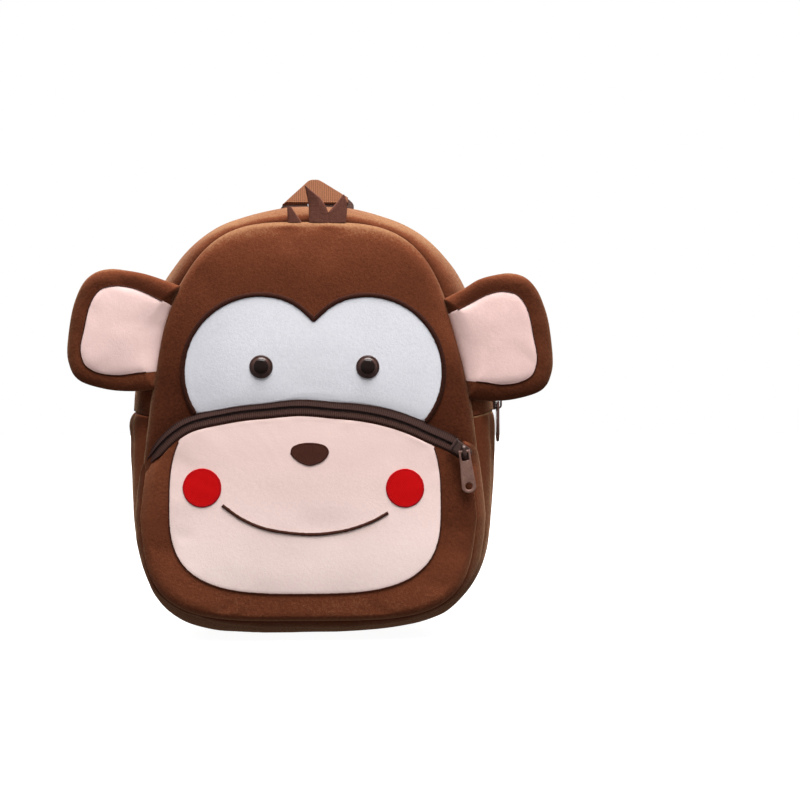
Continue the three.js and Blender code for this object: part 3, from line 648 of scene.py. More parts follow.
def plush(name, dark, light, painted_highlight, tint, sheen=0.05, pile=0.2):
    """Pile cloth: fibres over clumps, with painted light where it faces up and painted light and shade from
    its tone attribute.
    """
    dark, light, painted_highlight = srgb(dark), srgb(light), srgb(painted_highlight)
    made, tree, bsdf = blank(name, Roughness=1.0, Sheen_Weight=sheen, Sheen_Roughness=0.4,
                             Sheen_Tint=srgb(tint), Specular_IOR_Level=0.03)
    at = place(tree)
    nap = grain(tree, at, 30, 3)
    clumps = grain(tree, at, 1.5, 2)
    fibres = grain(tree, at, 0.5, 2)
    # Painted light and shade: the tone attribute makes the pile lighter or darker.
    painted_shading = node(tree, "ShaderNodeAttribute", attribute_name="tone").outputs["Fac"]
    normal = node(tree, "ShaderNodeTexCoord").outputs["Normal"]
    up = node(tree, "ShaderNodeSeparateXYZ", {"Vector": normal}).outputs["Z"]
    # Painted light: pile that faces up is painted towards the highlight colour.
    painted_top_light = node(tree, "ShaderNodeMapRange", {0: up, 1: 0.2, 2: 0.78, 3: 0.0, 4: 1.0}).outputs[0]
    shade = weighed(tree, (nap, 0.14), (clumps, 0.27), (fibres, 0.3), (painted_shading, 0.2), (painted_top_light, 0.45))
    tones = ramp(tree, shade, (0.13, dark), (0.35, mixed(dark, light)), (0.53, light), (0.90, painted_highlight))
    tree.links.new(tones, bsdf.inputs["Base Color"])
    bumped(tree, bsdf, weighed(tree, (clumps, 0.6), (fibres, 0.4)), pile, 0.8)
    return made


def woven(name, dark, light, rough=0.8, sheen=0.2, shine=0.25):
    """Ribbed cloth: ribs across its length, with fine threads along them."""
    made, tree, bsdf = blank(name, Roughness=rough, Sheen_Weight=sheen, Specular_IOR_Level=shine)
    along = wave(tree, "X", RIB_PITCH)
    across = wave(tree, "Y", RIB_PITCH * 0.62)
    dust = grain(tree, place(tree), 1.2, 3)
    height = weighed(tree, (along, 0.6), (across, 0.3), (dust, 0.3))
    tree.links.new(ramp(tree, height, (0.25, srgb(dark)), (0.95, srgb(light))), bsdf.inputs["Base Color"])
    bumped(tree, bsdf, height, 0.55, 0.35)
    return made


def wave(tree, axis, pitch):
    """Ridges from 0 to 1 along one axis of the weave, with a pitch in millimetres."""
    flow = node(tree, "ShaderNodeAttribute", attribute_name="weave").outputs["Vector"]
    socket = node(tree, "ShaderNodeSeparateXYZ", {"Vector": flow}).outputs[axis]
    turned = calculate(tree, "MULTIPLY", socket, 2 * math.pi / pitch)
    return calculate(tree, "MULTIPLY_ADD", calculate(tree, "SINE", turned), 0.5, 0.5)


def thread(name, dark, light, rough=0.75):
    """Embroidery thread: fine strands along each stitch."""
    made, tree, bsdf = blank(name, Roughness=rough, Specular_IOR_Level=0.05)
    strands = wave(tree, "X", 0.55)
    dust = grain(tree, place(tree), 1.6, 3)
    height = weighed(tree, (strands, 0.6), (dust, 0.4))
    tree.links.new(ramp(tree, height, (0.2, srgb(dark)), (0.85, srgb(light))), bsdf.inputs["Base Color"])
    bumped(tree, bsdf, height, 0.5, 0.25)
    return made


def hard(name, dark, light, rough, size=1.5, bump=0.1, **values):
    """Moulded plastic or painted metal with a faint grain."""
    made, tree, bsdf = blank(name, Roughness=rough, **values)
    at = place(tree)
    dust = weighed(tree, (grain(tree, at, size, 3), 0.6), (grain(tree, at, 8, 2), 0.4))
    tree.links.new(ramp(tree, dust, (0.35, srgb(dark)), (0.65, srgb(light))), bsdf.inputs["Base Color"])
    bumped(tree, bsdf, dust, bump, 0.2)
    return made


# The third colour of each plush is a painted highlight for pile that faces up or has a high tone; the
# fourth tints the sheen.
BROWN = plush("plush_brown", (66, 31, 18), (117, 63, 41), (175, 132, 96), (255, 205, 163),
              sheen=0.4, pile=0.7)
WHITE = plush("plush_white", (205, 205, 212), (232, 232, 238), (244, 244, 248), (255, 255, 255))
PINK = plush("plush_pink", (218, 191, 185), (235, 210, 204), (244, 226, 220), (255, 240, 235))
YELLOW = plush("plush_yellow", (186, 126, 50), (212, 156, 76), (244, 200, 118), (255, 226, 160),
               sheen=0.3, pile=0.5)
RED = thread("thread_red", (172, 6, 9), (199, 12, 15))
RED_RIM = thread("thread_red_rim", (160, 12, 20), (186, 16, 24), rough=0.7)
DARK_THREAD = thread("thread_brown", (50, 27, 21), (80, 45, 35))
ROSE = plush("plush_rose", (222, 183, 177), (241, 206, 200), (249, 220, 214), (255, 240, 235))
TAPE = woven("zip_tape", (50, 33, 29), (84, 59, 53), rough=0.85, sheen=0.0, shine=0.06)
TAPE_SHADED = woven("zip_tape_shaded", (40, 27, 24), (66, 46, 42), rough=0.85, sheen=0.0, shine=0.06)
TEETH = hard("zip_teeth", (44, 27, 23), (62, 40, 34), rough=0.45)
METAL = hard("zip_metal", (122, 88, 78), (146, 110, 98), rough=0.4, size=1.0, bump=0.05, Metallic=0.25)
CAST = hard("zip_slider", (60, 40, 35), (82, 58, 52), rough=0.4, size=1.0, bump=0.05, Metallic=0.25)
FELT = plush("felt", (84, 51, 43), (120, 77, 65), (138, 93, 79), (200, 170, 155), sheen=0.1, pile=0.6)
WEBBING = woven("webbing", (74, 38, 24), (132, 82, 58))
# Lit and shaded copies of the webbing: painted light on the handle's front fold, painted shade on its legs.
WEB_PAINTED_LIGHT = woven("webbing_painted_light", (104, 60, 36), (152, 96, 60))
WEB_PAINTED_SHADE = woven("webbing_painted_shade", (48, 28, 22), (86, 55, 45))
PLASTIC = hard("buckle_plastic", (54, 36, 33), (74, 52, 47), rough=0.5, size=0.8, bump=0.12)
EYE_PLASTIC = hard("eye_plastic", (52, 32, 28), (70, 45, 40), rough=0.32, size=3.0, bump=0.02,
                   Specular_IOR_Level=0.35)
IRIS = hard("eye_iris", (62, 39, 34), (80, 55, 48), rough=0.22, size=3.0, bump=0.02,
            Specular_IOR_Level=0.45)
PUPIL = hard("eye_pupil", (22, 12, 9), (34, 18, 14), rough=0.14, size=3.0, bump=0.01,
             Specular_IOR_Level=0.3)


# Body of the bag
def gusset_grid(angles, share, deeper=0.0):
    """Points of the side band at angles round the middle and shares from the front seam to the back."""
    a = np.asarray(angles)[:, None]
    s = np.asarray(share)[None, :]
    low = fade(-np.sin(a), 0.3, 0.5)
    bulge = np.sin(np.pi * np.clip(s, 1e-6, 1 - 1e-6)) ** np.where(s < 0.5, mix(0.42, 1.2, low), 0.4)
    front, back, belly = (reach(within(o), CENTRE, a) for o in (FRONT, BACK, BELLY))
    y = mix(-SEAM_Y + 0.2, SEAM_Y - 0.2, s) + 0 * a
    valley = 2.4 * np.exp(-(y + SEAM_Y) / 1.8)
    radius = mix(mix(front, back, s), belly, bulge) - valley - deeper
    z = CENTRE[1] + radius * np.sin(a)
    x = radius * np.cos(a) - 1.5 * bulge * fade(z, 55, -45)
    sag = 1.6 * bell(x, -32, 16) + 0.9 * bell(x, 40, 14)
    bottom_right = 2.2 * fade(x, 10, 40) * fade(z, 25, -25) + 1.8 * fade(x, 76, 12) * fade(z, 50, -30)
    z = z + bulge * (bottom_right - sag * fade(z, 200, 20))
    return xyz(x, y, z)


def outward(grid):
    away = grid - np.array([0, 0, CENTRE[1]])
    away[..., 1] = 0
    return away / np.linalg.norm(away, axis=-1, keepdims=True)


def seam_pucker(grid, seed):
    """Small gathers beside the front and back seams."""
    x, y, z = np.moveaxis(grid, -1, 0)
    near = np.exp(-(SEAM_Y - np.abs(y)) / 5.0)
    return near * 0.5 * wobble(x, y * 0.25, z, 7.0, seed)


def on_left(x):
    """Share of the pinch beside the ends of the top zipper, which is weaker on the right."""
    return mix(0.25, 1.0, smooth(0.5 - x / 40))


def gusset(name, angles, share, folds):
    grid = gusset_grid(angles, share)
    x, y, z = np.moveaxis(grid, -1, 0)
    swell = seam_pucker(grid, 3.1) + 0.7 * wobble(x, y, z, 34.0, 9.4) + 0.25 * wobble(x, y, z, 12.0, 5.2)
    grid = grid + outward(grid) * (swell + folds(x, y, z))[..., None]
    grid[..., 2] = np.maximum(grid[..., 2], 0.0)
    inner = grid - WALL * normals_of(grid, outward(grid))
    inner[..., 1] = np.clip(inner[..., 1], -SEAM_Y + 0.2, SEAM_Y - 0.2)
    inner[..., 2] = np.maximum(inner[..., 2], 1.0)
    # Painted light and shade: the upper band is painted darker, most in the middle and on the far left and
    # least on the far right; a painted shadow lies under the left end of the top zipper and painted light
    # under the right end.
    top = mix(-0.9, -0.4, fade(np.abs(x), 15, 30)) + mix(0.3, -0.6, x < 0) * fade(np.abs(x), 46, 28)
    painted_zip_end_shading = 1.2 * smooth(x / 40) * bell(z, 128, 12) - 1.6 * on_left(x) * bell(z, 124, 7)
    tone = top * fade(z, 150, 40) + painted_zip_end_shading
    return shell(name, grid, inner, BROWN, tone=tone)


def lower_folds(x, y, z):
    """Upright folds under the ends of the top zipper and a rolled end seam above them."""
    high = fade(z, 50, 60)
    lines = np.sin(y * 0.42 + 0.03 * z + 0.9 * wobble(x, y, z, 24.0, 1.7))
    pinch = np.exp(-np.maximum(0, MAIN_ZIP.bottom - z) / 2.2)
    roll = bell(z, 119, 6)
    return high * 0.9 * lines * (1 - pinch) + on_left(x) * (1.3 * roll - 1.4 * pinch)


def upper_folds(x, y, z):
    lip = bell(np.abs(y), 5.5, 1.6)
    pinch = np.exp(-np.maximum(0, z - MAIN_ZIP.bottom) / 4.0)
    return 0.7 * lip - 0.9 * on_left(x) * pinch * fade(np.abs(y), 5, 8)


first_shares = np.array([0, 0.008, 0.02, 0.035, 0.055])
share_all = np.concatenate([first_shares, np.linspace(0.08, 0.92, 44), 1 - first_shares[::-1]])
zip_share = (SEAM_Y - 0.2 - MAIN_ZIP.band) / (2 * (SEAM_Y - 0.2))
share_front = np.concatenate([first_shares, mix(0.08, zip_share, np.sin(np.linspace(0, np.pi / 2, 24)))])
low_angles = np.radians(np.linspace(MAIN_ZIP.end - 0.1, -180 - MAIN_ZIP.end + 0.1, 300))
top_angles = np.radians(np.linspace(MAIN_ZIP.end + 0.1, 180 - MAIN_ZIP.end - 0.1, 240))
fit(gusset("gusset_lower", low_angles, share_all, lower_folds), ["gusset_lower"])
fit(gusset("gusset_front", top_angles, share_front, upper_folds), ["gusset_front"])
fit(gusset("gusset_back", top_angles, 1 - share_front[::-1], upper_folds), ["gusset_back"])


def make_main_zip():
    angles = np.radians(np.linspace(MAIN_ZIP.end + 0.1, 180 - MAIN_ZIP.end - 0.1, 520))
    half = np.array([0.3, 0.8, 1.25, 1.5, 2.2, 3, 3.9])
    y = np.concatenate([-half[::-1], [0], half])
    grid = gusset_grid(angles, (y + SEAM_Y - 0.2) / (2 * (SEAM_Y - 0.2)), MAIN_ZIP.recess)
    length = np.arange(len(angles)) * 0.95
    teeth = 0.5 + 0.5 * np.sin(length[:, None] * 2.2 + np.where(y < 0, 0, np.pi)[None, :])
    rise = np.where(np.abs(y) < 1.3, 0.45 + 0.5 * teeth * domed(y / 1.35), 0)
    rise = rise - 0.5 * bell(y, 0, 0.2)
    outer = grid + outward(grid) * rise[..., None]
    inner = grid - outward(grid) * 1.2
    weave = xyz(length[:, None], y[None, :], 0 * rise)
    return shell("main_zip", outer, inner, TAPE, weave=weave)


fit(make_main_zip(), ["main_zip"])


# Face and back panels
def face_y(x, z):
    share = np.minimum(1, level(FRONT, x, z))
    roll = rolled(share, FACE.roll_start)
    q = across_arch(x, z)
    tuck = FACE.tuck * np.exp(-np.maximum(0, q - upper_edge(x)) / FACE.tuck_length) * roll
    return -(SEAM_Y + FACE.roll * roll + FACE.crown * np.sqrt(1 - share**2) - tuck)


def make_front():
    x, z, edge = polar(within(FRONT), CENTRE, 320, shares(34, 18, 0.86))
    soft = np.minimum(1, edge / 12)
    y = face_y(x, z) - soft * waves(x, z, (0.4, 38, 4.1), (0.15, 13, 7.7))
    y = y - gathers(x, z, edge, 0.35, 5, 6, 2.2)
    # Painted light and shade: lighter at the top, at the right temple and a little lower down; darker on
    # the lower sides and along the upper seam.
    low = np.where(x < 0, 1.0 * fade(z, 195, -55), 0.8 * fade(z, 172, -34))
    painted_side_shade = fade(np.abs(x), 30, 45) * low
    seam = 1.2 * np.exp(-edge / 2.5) * fade(z, 185, 25)
    painted_forehead_light, below = 0.55 * fade(z, 190, 34), 0.15 * fade(z, 190, -20)
    painted_temple_light = 0.5 * fade(x, 58, 20) * fade(z, 152, 20)
    tone = painted_forehead_light - painted_side_shade - seam + below + painted_temple_light
    held = (edge < 4) | (np.abs(across_arch(x, z) - upper_edge(x)) < 5)
    grid = inflate(xyz(x, y, z), held, most=1.2, away=FORWARD, closed=True)
    return pillow("front_panel", grid, BROWN, tone=tone)


def make_back():
    x, z, edge = polar(within(BACK), CENTRE, 220, shares(26, 14, 0.86))
    share = np.minimum(1, level(BACK, x, z))
    soft = np.minimum(1, edge / 14)
    y = SEAM_Y + BACK_PAD * rolled(share, 0.9) + soft * waves(x, z, (0.5, 40, 6.3))
    y = y + gathers(x, z, edge, 0.35, 5, 6, 8.2)
    grid = inflate(xyz(x, y, z), edge < 4, most=0.8, away=BACKWARD, closed=True)
    # Painted shade: the whole back panel is painted darker.
    return pillow("back_panel", grid, BROWN, away=BACKWARD, tone=np.full_like(x, -0.8))


front = fit(make_front(), ["front_panel"])
back = fit(make_back(), ["back_panel"])
face_depth = depth_on(front)


# Patches and stitching
def patch(name, inside, centre, depth, material, steps, middle, lift=0.3, sink=0.3, tone=None):
    """A piece of pile cloth sewn flat on a surface, with its edge rounded down."""
    x, z, edge = polar(inside, centre, steps, shares(middle, 9, 0.93))
    base = depth(x, z)
    y = base - lift * np.sqrt(np.clip(edge / 1.6, 0, 1)) - 0.05
    outer = xyz(x, y, z)
    inner = xyz(x, base + sink, z)
    painted_shading = None if tone is None else tone(x, z)
    return shell(name, outer, inner, material, closed=True, fan=True, tone=painted_shading)


def satin(name, line, depth, half, lift, material=DARK_THREAD, closed=True, pitch=0.75,
          ragged=0.15):
    """A row of stitches across a line of XZ points, each a small raised thread."""
    line = np.asarray(line, float)
    length = distances(line)[-1]
    count = int(length / pitch) * 4
    path = even(np.concatenate([line, line[:1]]) if closed else line, count + 1)
    if closed:
        path = path[:-1]
    side = sideways(path, closed)
    n = len(path)
    along = np.arange(n) * length / n
    ridge = 0.55 + 0.45 * np.abs(np.sin(np.arange(n) * np.pi / 4 + 0.4))
    uneven = 1 + ragged * wobble(along, 0, 0, 1.7, 3.3)
    across = np.array([-1, -0.92, -0.6, 0, 0.6, 0.92, 1])
    x = path[:, 0, None] + side[:, 0, None] * across * half * uneven[:, None]
    z = path[:, 1, None] + side[:, 1, None] * across * half * uneven[:, None]
    dome = domed(across, 4)
    base = depth(x, z)
    top = xyz(x, base - lift * ridge[:, None] * dome, z)
    low = xyz(x, base + 0.4, z)
    weave = xyz(along[:, None], across * half, 0 * x)
    return shell(name, top, low, material, closed=closed, weave=weave)


def hem(name, line, depth, half, lift):
    """A thin, ragged row of dark stitches."""
    return satin(name, line, depth, half, lift, closed=False, pitch=1.1, ragged=0.3)


def in_eye_patch(x, z):
    def lobe(side):
        return np.hypot(x - EYE_PATCH.centre[0] - side * EYE_PATCH.spread, z - EYE_PATCH.height)
    radius = EYE_PATCH.radius - EYE_PATCH.notch * bell(x, EYE_PATCH.centre[0], 9)
    return (np.minimum(lobe(-1), lobe(1)) < radius) & (across_arch(x, z) > upper_edge(x) + 0.5)


def free_edge(inside, centre, is_free):
    """The part of a shape's edge that a test keeps, as one line."""
    angles = turns(1400)
    far = reach(inside, centre, angles)
    x, z = centre[0] + far * np.cos(angles), centre[1] + far * np.sin(angles)
    free = is_free(x, z)
    first = int(np.argmax(free & ~np.roll(free, 1)))
    return np.roll(np.stack([x, z], -1), -first, axis=0)[: int(free.sum())]


# Painted light and shade on the eye patch: lighter near the zipper and in the middle, darker on the left.
def eye_patch_painted_shading(x, z):
    return 0.5 + 0.5 * fade(z, 140, -14) + 0.3 * bell(x, 0, 25) - 0.9 * fade(-x, 30, 40)


eye_patch = patch("eye_patch", in_eye_patch, EYE_PATCH.centre, face_depth, WHITE, steps=320, middle=28,
                  tone=eye_patch_painted_shading)
fit(eye_patch, ["eye_patch"])
lobes = free_edge(in_eye_patch, EYE_PATCH.centre, lambda x, z: across_arch(x, z) > upper_edge(x) + 0.9)
away = lobes - np.array(EYE_PATCH.centre)
lobes = lobes + 0.7 * away / np.linalg.norm(away, axis=1, keepdims=True)
border = satin("eye_patch_border", lobes, face_depth, half=1.4, lift=1.3, closed=False)
fit(border, [])


def lathe(profile, centre, steps=64):
    """Rings about an axis along -Y through a centre, from radius and height pairs."""
    turn = np.arange(steps) / steps * 2 * np.pi
    r = np.asarray(profile, float)
    x = centre[0] + r[:, 0, None] * np.cos(turn)
    z = centre[2] + r[:, 0, None] * np.sin(turn)
    y = centre[1] - r[:, 1, None] + 0 * turn
    return xyz(x, y, z)


def make_eye(name, side):
    x, z = EYE.centre + side * EYE.spread, EYE.height
    y = float(depth_on(eye_patch)(np.array([x]), np.array([z]))[0]) + 0.5
    r = EYE.radius
    rim = [(0.01, 0), (r - 0.3, 0), (r, 0.35), (r, 0.9), (r - 0.3, 1.35), (r - 0.75, 1.5),
           (r - 1.1, 1.35), (0.01, 1.35)]
    iris = [(0.01, 1.2), (r - 1.1, 1.2), (r - 1.15, 1.5), (r - 1.6, 2.0), (r - 2.1, 2.35),
            (r - 2.4, 2.5), (0.01, 2.5)]
    dome = np.linspace(0, np.pi / 2 - 0.003, 16)
    ball = [(0.01, 2.4), (r - 2.4, 2.4)]
    ball += [((r - 2.4) * math.cos(t), 2.45 + 1.1 * math.sin(t)) for t in dome]
    fit(tube(name + "_rim", lathe(rim, (x, y, z)), EYE_PLASTIC, sharp=60), [])
    fit(tube(name, lathe(iris, (x, y, z)), IRIS, sharp=60), [name])
    fit(tube(name + "_pupil", lathe(ball, (x, y, z)), PUPIL, sharp=60), [])


make_eye("eye_left", -1)
make_eye("eye_right", 1)


# Front pocket
def rim_y(x):
    """Depth of the zipper, which sinks to the face at its left end."""
    away = np.maximum(0, np.abs(x - ARCH.centre) - ZIP.sink)
    return -POUCH.rim_y + np.where(x < 0, 7.0, 1.6) * (away / 22) ** 2 + 1.3 * fade(-x, 85, 5)


def pocket_y(x, z):
    share = np.minimum(1, level(POCKET, x, z))
    below = np.clip((narrowed(ZIP.pocket_edge, x) - across_arch(x, z)) / POUCH.rise, 0, 1)
    near = np.exp(-below * POUCH.rise / 9)
    rim = mix(-POUCH.rim_y, rim_y(x), near)
    return rim - POUCH.puff * rolled(share, POUCH.roll_start) * np.sin(below * np.pi / 2)


def in_pocket(x, z):
    return (level(POCKET, x, z) < 1) & (across_arch(x, z) < narrowed(ZIP.pocket_edge, x))


def make_pocket():
    x, z, edge = polar(in_pocket, POUCH.centre, 320, shares(34, 18, 0.84))
    soft = np.minimum(1, edge / 12)
    y = pocket_y(x, z) - soft * waves(x, z, (0.7, 36, 2.9), (0.25, 12, 6.1))
    y = y - gathers(x, z, edge, 0.4, 5, 6.5, 1.3)
    grid = inflate(xyz(x, y, z), edge < 4, most=1.6, away=FORWARD, closed=True)
    # Painted light and shade: the pocket is lighter towards its bottom, with a painted shadow on its right
    # side above the bottom.
    bottom, right = 0.8 * fade(z, 60, -40), 0.7 * fade(x, 60, 15) * fade(z, 45, 25)
    tone = bottom - right
    return pillow("pocket_panel", grid, BROWN, tone=tone)


pocket = fit(make_pocket(), ["pocket_panel"])
pocket_depth = depth_on(pocket)


def make_band():
    degrees = np.linspace(BAND.right, BAND.left, 330)
    angles = np.radians(degrees)
    right, left = (BAND.right - degrees)[:, None], (degrees - BAND.left)[:, None]
    full = smooth(np.minimum(right / 14, left / 11))
    raised = smooth(np.minimum(right / 5, left / 11))
    s = np.linspace(0, 1, 18)[None, :]
    front_r = reach(within(FRONT), CENTRE, angles)[:, None]
    pocket_r = reach(within(POCKET), CENTRE, angles)[:, None]
    tuck = 0.5 * (1 - full) + 3.0 * (1 - full) ** 2.5
    bulge = 1.9 * np.sin(np.pi * s) ** 0.7 * mix(0.5, 1, full)
    radius = mix(front_r + 0.6, pocket_r + 0.3, s) + bulge - tuck
    a = angles[:, None]
    rim = pocket_y(pocket_r * np.cos(a), CENTRE[1] + pocket_r * np.sin(a))
    y = mix(-SEAM_Y - 0.4, mix(-SEAM_Y - 3.4, rim, raised), s) + 0 * radius
    grid = xyz(radius * np.cos(a), y, CENTRE[1] + radius * np.sin(a))
    x, y, z = np.moveaxis(grid, -1, 0)
    grid = grid + outward(grid) * (0.5 * wobble(x, y * 0.4, z, 9.0, 3.7))[..., None]
    inner = grid - WALL * outward(grid)
    x, y, z = np.moveaxis(grid, -1, 0)
    # Painted shade: the band is darker high on its left and at its right end.
    painted_left_shade = (-0.8 * fade(z, 30, 40) - 1.0 * fade(z, 74, 16)) * fade(-x, 60, 20)
    painted_right_end_shade = 2.2 * smooth(x / 40) * (1 - full)
    tone = painted_left_shade - painted_right_end_shade
    return shell("pocket_band", grid, inner, BROWN, tone=tone)


fit(make_band(), ["pocket_band"])


def in_muzzle(x, z):
    across = np.abs(x - MUZZLE.centre[0])
    upper = across < mix(MUZZLE.half, MUZZLE.top_half, (np.maximum(0, z - MUZZLE.widest) / 36) ** 3)
    drop = np.maximum(0, MUZZLE.widest - z) / (MUZZLE.widest - MUZZLE.bottom)
    lower = (across / MUZZLE.half) ** MUZZLE.power + drop ** MUZZLE.power < 1
    return np.where(z > MUZZLE.widest, upper, lower) & (across_arch(x, z) < ZIP.pocket_edge - 0.2)


# Painted light and shade on the muzzle: lighter at the bottom, darker at the top by the zipper.
muzzle = patch("muzzle_patch", in_muzzle, MUZZLE.centre, pocket_depth, PINK, steps=320, middle=30,
               tone=lambda x, z: mix(1.3, -1.7, fade(z, 40, 85)) + 0 * x)
fit(muzzle, ["muzzle_patch"])
jaw = free_edge(in_muzzle, MUZZLE.centre, lambda x, z: across_arch(x, z) < ZIP.pocket_edge - 0.8)
fit(hem("muzzle_border", jaw, pocket_depth, half=0.42, lift=0.8), [])
muzzle_depth = depth_on(pocket, muzzle)


def fill_stitch(name, inside, centre, depth, material, steps, turn, lift=0.6):
    """Embroidered shape: rows of thread laid side by side at an angle."""
    x, z, edge = polar(inside, centre, steps, np.linspace(0, 1, 40))
    base = depth(x, z)
    u = x * math.cos(turn) + z * math.sin(turn)
    v = -x * math.sin(turn) + z * math.cos(turn)
    row = 0.12 * np.abs(np.sin(u * np.pi / 0.9 + 0.5 * wobble(v, 0, u, 3.0)))
    y = base - (lift * np.sqrt(np.clip(edge / 0.9, 0, 1)) * 0.75 + row * np.clip(edge, 0, 1)) - 0.05
    outer = xyz(x, y, z)
    inner = xyz(x, base + 0.3, z)
    weave = xyz(u, v, 0 * u)
    return shell(name, outer, inner, material, closed=True, fan=True, weave=weave)


for cheek, (cx, cz) in CHEEKS.items():
    def disc(x, z, cx=cx, cz=cz):
        return np.hypot(x - cx, z - cz) < CHEEK_RADIUS - 0.2
    fit(fill_stitch(cheek, disc, (cx, cz), muzzle_depth, RED, steps=120, turn=0.5), [cheek])
    turn = np.linspace(0, 2 * np.pi, 160, endpoint=False)
    ring = np.array((cx, cz)) + (CHEEK_RADIUS - 0.7) * np.stack([np.cos(turn), np.sin(turn)], -1)
    fit(satin(cheek + "_rim", ring, muzzle_depth, half=0.7, lift=0.7, material=RED_RIM), [])
nose_line = spline(NOSE + NOSE[:1], 200)[:-1]
nose_edge = mix(np.array(NOSE_CENTRE), nose_line, 0.95)
fit(satin("nose_rim", nose_edge, muzzle_depth, half=0.6, lift=0.75), [])
nose = fill_stitch("nose", in_polygon(nose_line), NOSE_CENTRE, muzzle_depth, DARK_THREAD, steps=160,
                   turn=0.05)
fit(nose, ["nose"])
mouth = satin("mouth", spline(MOUTH, 400), muzzle_depth, half=0.85, lift=1.0, closed=False, pitch=0.9)
fit(mouth, ["mouth"])


# Pocket zipper
def strip(name, low, high, columns, depth, material, count=340, thick=0.9):
    """A strip along the zipper between two lines beside its curve."""
    x = np.linspace(ARCH.left, ARCH.right, count)
    q = mix(low(x)[:, None], high(x)[:, None], np.linspace(0, 1, columns)[None, :])
    px, pz = beside_arch(x[:, None], q)
    y = depth(px, pz, q)
    outer = xyz(px, y, pz)
    inner = outer + np.array([0, thick, 0])
    length = distances(np.stack([x, arch(x)], -1))
    weave = xyz(length[:, None], q, 0 * px)
    return shell(name, outer, inner, material, weave=weave)


def at_offset(offset):
    return lambda x: np.full_like(x, offset)


def tape_upper(x, z, q):
    t = smooth((q - 1.2) / np.maximum(0.4, upper_edge(x) - 1.2))
    seat = np.minimum(face_y(x, z) - 0.6, -SEAM_Y - 2.5)
    lip = 0.5 * bell(q, 1.0, 0.6)
    return mix(rim_y(x) - 0.2 - lip, np.maximum(seat, rim_y(x)), t)


def tape_lower(x, z, q):
    return rim_y(x) + 0.2 - 0.75 * smooth(-q / 3.2) + 1.0 * fade(-q, 3.3, 1.6)


def coil_depth(x, z, q):
    along = x * 2 * np.pi / 1.3
    teeth = 0.5 + 0.5 * np.sin(along + np.where(q < 0, 0, np.pi))
    ridge = 0.35 * teeth * domed(q / 0.75)
    return rim_y(x) + 0.55 - ridge + 0.35 * bell(q, 0, 0.12)


def tape_edge(x):
    return upper_edge(x) + 0.3


def pocket_tape_edge(x):
    return narrowed(ZIP.lower, x)


upper = strip("pocket_tape_upper", at_offset(ZIP.tape), tape_edge, 16, tape_upper, TAPE_SHADED)
fit(upper, ["pocket_tape_upper"])
lower = strip("pocket_tape_lower", pocket_tape_edge, at_offset(-ZIP.tape), 18, tape_lower, TAPE)
fit(lower, ["pocket_tape_lower"])
coil = strip("pocket_coil", at_offset(-ZIP.coil), at_offset(ZIP.coil), 11, coil_depth, TEETH,
             count=780, thick=1.4)
fit(coil, ["pocket_coil"])


# Ears
def root_x(z, side):
    """How far the face seam lies from the middle at a height on one side."""
    z = np.asarray(z, float)
    return reach(within(FRONT), (0.0, z), np.full_like(z, 0.0 if side > 0 else np.pi))


def ear_lines(side):
    """Outlines of an ear and of its lining."""
    outer, lining = np.array(EAR_OUTLINE, float), np.array(EAR_LINING, float)
    if side < 0:
        for line, upper, lower in ((outer, LEFT_EAR.upper, LEFT_EAR.lower),
                                   (lining, LEFT_EAR.lining_upper, LEFT_EAR.lining_lower)):
            top = np.interp(line[:, 0], LEFT_EAR.x, upper)
            line[:, 1] += LEFT_EAR.rise + mix(lower, top, fade(line[:, 1], 145, 35))
        lining[:, 0] += LEFT_EAR.lining_out * fade(lining[:, 0], 95, 20)
    return outer, lining


def rooted(points, space, side):
    """Outline of an ear piece that starts and ends on the face seam."""
    line = np.array(points, float)
    line[0, 0] = root_x(line[0, 1], side) + space
    line[-1, 0] = root_x(line[-1, 1], side) + space
    edge = spline(line, 140)
    heights = np.linspace(line[-1, 1], line[0, 1], 24)[1:-1]
    return np.concatenate([edge, np.stack([root_x(heights, side) + space, heights], -1)])


